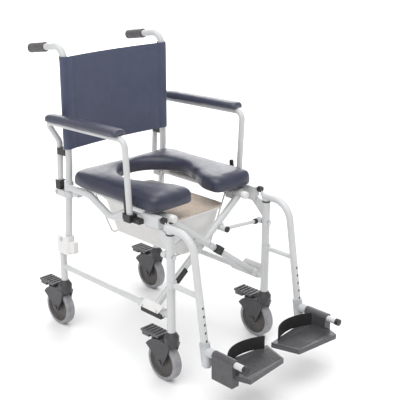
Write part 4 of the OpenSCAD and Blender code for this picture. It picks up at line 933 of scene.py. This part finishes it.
@dataclass
class SlingBack:
    """Cloth back stretched between the back tubes, with sewn sleeves and hems."""

    tube_x: float = 0.203
    tube_r: float = 0.0111
    depth: float = 0.482
    low_z: float = 0.640
    high_z: float = 0.934
    bow: float = 0.016
    arc_start_z: float = 0.92017
    arc_r: float = 0.040
    lift: float = 0.0025
    thick: float = 0.0022
    wrap_end: float = math.radians(150)
    wrap_steps: int = 20
    panel_steps: int = 64
    rows: int = 64
    hem: float = 0.014
    hem_rise: float = 0.0011
    seam_x: float = 0.176
    seam_depth: float = 0.0026
    seam_half: float = 0.0035
    stitch_pitch: float = 0.0052
    stitch_length: float = 0.0036
    stitch_r: float = 0.0005
    crease: float = 60.0
    measure_steps: int = 100

    def line_depth(self, z: float) -> tuple[float, float]:
        """Depth of the back tube and the stretch of its cut at a height.

        Args:
            z: Height.

        Returns:
            Depth of the centre line, and how much longer the level cut is than the tube is thick.
        """
        sine = max(0.0, (z - self.arc_start_z) / self.arc_r)
        cosine = math.sqrt(1 - sine * sine)
        return self.depth + self.arc_r * (1 - cosine), 1 / cosine

    def spot(self, across: float, z: float) -> Vector:
        """Point on the cloth's middle surface.

        Args:
            across: From -1 at the right sleeve's end through 0 in the middle to 1 at the left sleeve's end.
            z: Height.

        Returns:
            The point.
        """
        centre, longer = self.line_depth(z)
        steps = self.wrap_steps + self.panel_steps / 2
        share = abs(across) * steps / (self.panel_steps / 2)
        sign = math.copysign(1.0, across)
        r = self.tube_r + self.lift
        if share <= 1:
            pull = 1 - share * share
            sag = self.bow * pull + self.seam_dip(share * self.tube_x)
            edge = min(z - self.low_z, self.high_z - z)
            hem = -self.hem_rise if edge < self.hem else 0.0
            return at(sign * share * self.tube_x, centre - r * longer + sag + hem, z)
        turn = (share - 1) * (self.panel_steps / 2) / self.wrap_steps
        angle = -math.pi / 2 + turn * (self.wrap_end + math.pi / 2)
        return at(sign * (self.tube_x + r * math.cos(angle)), centre + r * math.sin(angle) * longer, z)

    def seam_dip(self, x: float) -> float:
        """How far the sleeve seam draws the cloth back at a distance from the middle."""
        return self.seam_depth * math.exp(-((x - self.seam_x) / self.seam_half) ** 2)

    def build(self) -> None:
        """Model the cloth and its stitches."""
        columns = 2 * self.wrap_steps + self.panel_steps
        bpy.ops.mesh.primitive_grid_add(x_subdivisions=columns, y_subdivisions=self.rows, size=2)
        cloth = Bench.new_piece("sling_cloth")
        for point in cloth.data.vertices:
            z = self.low_z + (self.high_z - self.low_z) * (point.co.y + 1) / 2
            point.co = self.spot(point.co.x, z)
        Bench.modify(cloth, "SOLIDIFY", thickness=self.thick, offset=0.0)
        Bench.outward(cloth)
        Bench.smooth(cloth, self.crease)
        Bench.dress(cloth, "navy_cloth", "frame")
        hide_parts("back_sling")
        threads = Bench.dress(self.stitches(), "navy_cloth", "frame")

    @staticmethod
    def length(points: list[Vector]) -> float:
        """Length of the line through some points."""
        return sum((b - a).length for a, b in zip(points, points[1:]))

    def stitches(self) -> bpy.types.Object:
        """Rows of stitches along both sleeve seams and both hems.

        Returns:
            All stitches as one piece.
        """
        bpy.ops.mesh.primitive_uv_sphere_add(
            segments=6, ring_count=5, radius=self.stitch_r,
            scale=(1, 1, self.stitch_length / (2 * self.stitch_r)))
        pattern = Bench.new_piece("stitch_pattern")
        steps = self.wrap_steps + self.panel_steps / 2
        to_across = (self.panel_steps / 2) / steps / self.tube_x
        made = []
        rows = int((self.high_z - self.low_z - 2 * self.hem) / self.stitch_pitch)
        for x in (-self.seam_x, self.seam_x):
            for i in range(rows):
                z = self.low_z + self.hem + (i + 0.5) * self.stitch_pitch
                made.append(self.stitch(pattern, self.spot(x * to_across, z), 0.0))
        columns = int(2 * self.seam_x / self.stitch_pitch)
        for z in (self.low_z + self.hem, self.high_z - self.hem):
            for i in range(columns):
                x = -self.seam_x + (i + 0.5) * self.stitch_pitch
                made.append(self.stitch(pattern, self.spot(x * to_across, z), math.pi / 2))
        bpy.data.objects.remove(pattern)
        return Bench.joined(made, "sling_stitches")

    def stitch(self, pattern: bpy.types.Object, spot: Vector, turn: float) -> bpy.types.Object:
        """One stitch that lies on the front face.

        Args:
            pattern: Upright stitch at the origin.
            spot: Point on the cloth.
            turn: Angle from upright.

        Returns:
            The stitch.
        """
        piece = bpy.data.objects.new("stitch", pattern.data.copy())
        face = spot + Vector((0, -self.thick / 2, 0))
        piece.data.transform(Matrix.Translation(face) @ Matrix.Rotation(turn, 4, "Y"))
        bpy.context.scene.collection.objects.link(piece)
        return piece


@dataclass
class SeatCushion:
    """Moulded foam seat, open at the front."""

    padding: Padding

    def build(self, nodes: dict[str, bpy.types.Object]) -> None:
        """Make the padded seat from its solid.

        Args:
            nodes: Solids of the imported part.
        """
        seat = self.padding.stuffed(nodes["seat_cushion"], "seat_foam")
        Bench.dress(seat, "navy_skin", "seat")
        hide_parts("seat_cushion")


@dataclass
class Armrest:
    """One armrest's pad."""

    side: Side
    padding: Padding

    def build(self, nodes: dict[str, bpy.types.Object]) -> None:
        """Make the padded armrest from its solid.

        Args:
            nodes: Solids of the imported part.
        """
        name = f"{self.side.word}_armrest_pad"
        pad = self.padding.stuffed(nodes[name], f"{self.side.word}_armrest_foam")
        # The pads take the lighter copy of the navy skin, which is painted reflected light.
        Bench.dress(pad, "navy_skin", f"{self.side.word}_armrest", "painted_light_pad_skin")
        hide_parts(name)


@dataclass
class Legrest:
    """One legrest: white lever arm, black sleeve that paints the shade inside the height holes, tread ribs
    and heel strap.
    """

    side: Side
    post_x: float = 0.208
    hanger_depth: float = -0.091
    hanger_z: float = 0.497
    slope: float = math.radians(9)
    knob_front: float = 0.0205
    # Black sleeve inside the hanger: painted shade seen through the height holes.
    liner_r: float = 0.0090
    liner_low_z: float = 0.150
    liner_high_z: float = 0.335
    liner_steps: int = 40
    liner_bevel: float = 0.001
    plate_z: float = 0.130
    rib_outer_x: float = 0.189
    rib_inner_x: float = 0.010
    rib_inner_rear: float = 0.206
    rib_inner_slope: float = 26 / 88
    rib_margin: float = 0.007
    rib_first: float = 0.222
    rib_pitch: float = 0.0066
    rib_count: int = 11
    rib_width: float = 0.0028
    rib_height: float = 0.0014
    rib_bevel: float = 0.0009
    strap_outer_x: float = 0.190
    strap_inner_x: float = 0.030
    strap_end: float = 0.214
    strap_bulge: float = 0.026
    strap_height: float = 0.042
    strap_thick: float = 0.0026
    strap_inset: float = 0.0015
    strap_slack: float = 0.0008
    strap_waves: float = 3.0
    strap_bevel: float = 0.0008
    strap_columns: int = 48
    strap_rows: int = 10

    @property
    def strap_half(self) -> float:
        """Half of the strap's span."""
        return (self.strap_outer_x - self.strap_inner_x) / 2

    @property
    def strap_r(self) -> float:
        """Radius of the strap's bow."""
        return (self.strap_half ** 2 + self.strap_bulge ** 2) / (2 * self.strap_bulge)

    @property
    def strap_reach(self) -> float:
        """Half of the angle that the bow spans."""
        return math.asin(self.strap_half / self.strap_r)

    def paint_lever(self, lever: bpy.types.Object) -> None:
        """Paint the release lever white ahead of its knob.

        Args:
            lever: Solid of the release lever.
        """
        lever.data.materials.append(FINISHES["white_paint"].material())
        knob_y = at(0, self.knob_front, 0).y
        for face in lever.data.polygons:
            face.material_index = 1 if face.center.y < knob_y else 0

    def liner(self) -> bpy.types.Object:
        """Black sleeve inside the hanger: painted shade that shows through its holes.

        Returns:
            The sleeve.
        """
        middle_z = (self.liner_low_z + self.liner_high_z) / 2
        length = (self.liner_high_z - self.liner_low_z) / math.cos(self.slope)
        depth = self.hanger_depth - math.tan(self.slope) * (self.hanger_z - middle_z)
        bpy.ops.mesh.primitive_cylinder_add(
            vertices=self.liner_steps, radius=self.liner_r, depth=length,
            location=at(self.side.value * self.post_x, depth, middle_z), rotation=(-self.slope, 0, 0))
        liner = Bench.new_piece(f"{self.side.word}_hanger_liner")
        Bench.bevel_faces(liner, lambda face: abs(face.normal.z) > Bench.FACING, self.liner_bevel, steps=2)
        Bench.smooth(liner)
        return liner

    def ribs(self) -> bpy.types.Object:
        """Raised ribs on the footplate's upper face.

        Returns:
            All ribs of one plate as one piece.
        """
        made = []
        for i in range(self.rib_count):
            depth = self.rib_first + i * self.rib_pitch
            inner = self.rib_inner_x + self.rib_inner_slope * (depth - self.rib_inner_rear) + self.rib_margin
            middle = at(self.side.value * (inner + self.rib_outer_x) / 2, -depth, self.plate_z)
            bpy.ops.mesh.primitive_cube_add(
                size=1, location=middle,
                scale=(self.rib_outer_x - inner, self.rib_width, 2 * self.rib_height))
            rib = Bench.new_piece("rib")
            Bench.bevel_faces(rib, lambda face: face.normal.z > Bench.FACING, self.rib_bevel, steps=3)
            made.append(rib)
        ribs = Bench.joined(made, f"{self.side.word}_tread_ribs")
        Bench.smooth(ribs)
        return ribs

    def strap(self) -> bpy.types.Object:
        """Webbing strap that stands on the plate behind the heel.

        Returns:
            The strap.
        """
        reach = self.strap_reach
        middle_x = self.side.value * (self.strap_outer_x + self.strap_inner_x) / 2
        centre = at(middle_x, -self.strap_end + self.strap_bulge - self.strap_r, self.plate_z)
        bpy.ops.mesh.primitive_grid_add(
            x_subdivisions=self.strap_columns, y_subdivisions=self.strap_rows, size=2)
        strap = Bench.new_piece(f"{self.side.word}_strap_webbing")
        for point in strap.data.vertices:
            angle = point.co.x * reach
            height = self.strap_height * (point.co.y + 1) / 2
            slack = self.strap_slack * math.sin(self.strap_waves * angle / reach) * (point.co.y + 1)
            radius = self.strap_r - self.strap_inset - slack
            point.co = centre + Vector((radius * math.sin(angle), radius * math.cos(angle), height))
        Bench.modify(strap, "SOLIDIFY", thickness=self.strap_thick, offset=0.0)
        Bench.modify(strap, "BEVEL", width=self.strap_bevel, segments=2, limit_method="ANGLE")
        Bench.outward(strap)
        Bench.smooth(strap)
        return strap

    def build(self, nodes: dict[str, bpy.types.Object]) -> None:
        """Model the legrest's fine pieces.

        Args:
            nodes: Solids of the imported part.
        """
        word = self.side.word
        self.paint_lever(nodes[f"{word}_release_lever"])
        # The black sleeve paints the shade inside the hanger's height holes.
        Bench.dress(self.liner(), "black_plastic", f"{word}_legrest")
        Bench.dress(self.ribs(), "dark_plastic", f"{word}_foot")
        strap = Bench.dress(self.strap(), "black_webbing", f"{word}_foot")
        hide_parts(f"{word}_heel_strap")


@dataclass
class Studio:
    """Pale floor, soft light and the camera."""

    eye: Vector = field(default_factory=lambda: Vector((-1.8328, -1.9492, 1.4195)))
    azimuth: float = math.radians(-44.49)
    elevation: float = math.radians(19.10)
    sensor: float = 36.0
    focal_share: float = 897 / 400
    floor_size: float = 40.0
    floor_dark: Colour = (0.88, 0.88, 0.885)
    floor_light: Colour = (0.9, 0.9, 0.9)
    floor_clouds: float = 2.0
    floor_patches: float = 5.0
    floor_smooth: float = 0.6
    floor_rough: float = 0.7
    surround: float = 0.52
    overhead: float = 2.4
    overhead_spread: float = math.radians(80)
    overhead_from: Vector = field(default_factory=lambda: Vector((-0.25, -0.15, 1.0)))
    behind: Vector = field(default_factory=lambda: Vector((4.2, 4.4, 2.9)))
    behind_size: float = 4.8
    behind_watts: float = 190.0
    seat_middle: Vector = field(default_factory=lambda: Vector((0.0, 0.1, 0.55)))

    def build(self) -> None:
        """Set up the floor, lights and camera."""
        self.floor()
        self.lights()
        self.camera()

    def floor(self) -> None:
        """Wide pale floor."""
        bpy.ops.object.select_all(action="DESELECT")
        bpy.ops.mesh.primitive_plane_add(size=self.floor_size)
        floor = Bench.new_piece("studio_floor")
        material = bpy.data.materials.new("pale_floor")
        material.use_nodes = True
        board = NodeBoard(material)
        board.tint(board.spread(board.noise(self.floor_clouds), 0, 1), self.floor_dark, self.floor_light)
        board.gloss(board.noise(self.floor_patches), self.floor_smooth, self.floor_rough)
        floor.data.materials.append(material)

    def lights(self) -> None:
        """White surroundings, a broad light from above and a soft one behind the chair."""
        world = bpy.data.worlds.new("studio_surroundings")
        world.use_nodes = True
        background = world.node_tree.nodes["Background"]
        background.inputs["Color"].default_value = (1.0, 1.0, 1.0, 1.0)
        background.inputs["Strength"].default_value = self.surround
        bpy.context.scene.world = world
        bpy.ops.object.light_add(type="SUN")
        light = bpy.context.object
        light.name = "overhead_light"
        light.data.energy = self.overhead
        light.data.angle = self.overhead_spread
        light.rotation_euler = self.overhead_from.to_track_quat("Z", "Y").to_euler()
        bpy.ops.object.light_add(type="AREA", location=self.behind)
        glow = bpy.context.object
        glow.name = "back_light"
        glow.data.size = self.behind_size
        glow.data.energy = self.behind_watts
        glow.rotation_euler = (self.behind - self.seat_middle).to_track_quat("Z", "Y").to_euler()

    def camera(self) -> None:
        """Camera at the photograph's angle."""
        look = Vector((-math.sin(self.azimuth) * math.cos(self.elevation),
                       math.cos(self.azimuth) * math.cos(self.elevation), -math.sin(self.elevation)))
        bpy.ops.object.camera_add(location=self.eye)
        camera = bpy.context.object
        camera.name = "photo_camera"
        camera.rotation_euler = look.to_track_quat("-Z", "Y").to_euler()
        camera.data.lens = self.sensor * self.focal_share
        camera.data.sensor_width = self.sensor
        bpy.context.scene.camera = camera


def dress_solids(frame: dict) -> None:
    """Give every carried-over solid the finish of its slot.
    """
    for row in frame["record"]["subparts"]:
        node = frame["nodes"][row["node"]]
        finish = NODE_FINISHES.get(row["node"], row["material_slot"])
        node.data.materials.clear()
        node.data.materials.append(FINISHES[finish].material())


def main() -> None:
    """Build the chair's looks in order."""
    logging.basicConfig(level=logging.INFO, format="%(name)s: %(message)s")
    for default in ("Cube", "Light", "Camera"):
        left_over = bpy.data.objects.get(default)
        if left_over:
            bpy.data.objects.remove(left_over)
    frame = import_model()
    bpy.ops.object.select_all(action="DESELECT")
    bpy.context.scene.view_settings.view_transform = "Standard"
    nodes = frame["nodes"]
    dress_solids(frame)
    TubeFrame().build()
    SlingBack().build()
    SeatCushion(Padding(voxel=0.005, shrink=0.0, cap=0.002, settle=14)).build(nodes)
    for side in Side:
        Armrest(side, Padding(voxel=0.004, shrink=0.0005, cap=0.002)).build(nodes)
        Legrest(side).build(nodes)
    Studio().build()


if __name__ == "__main__":
    main()
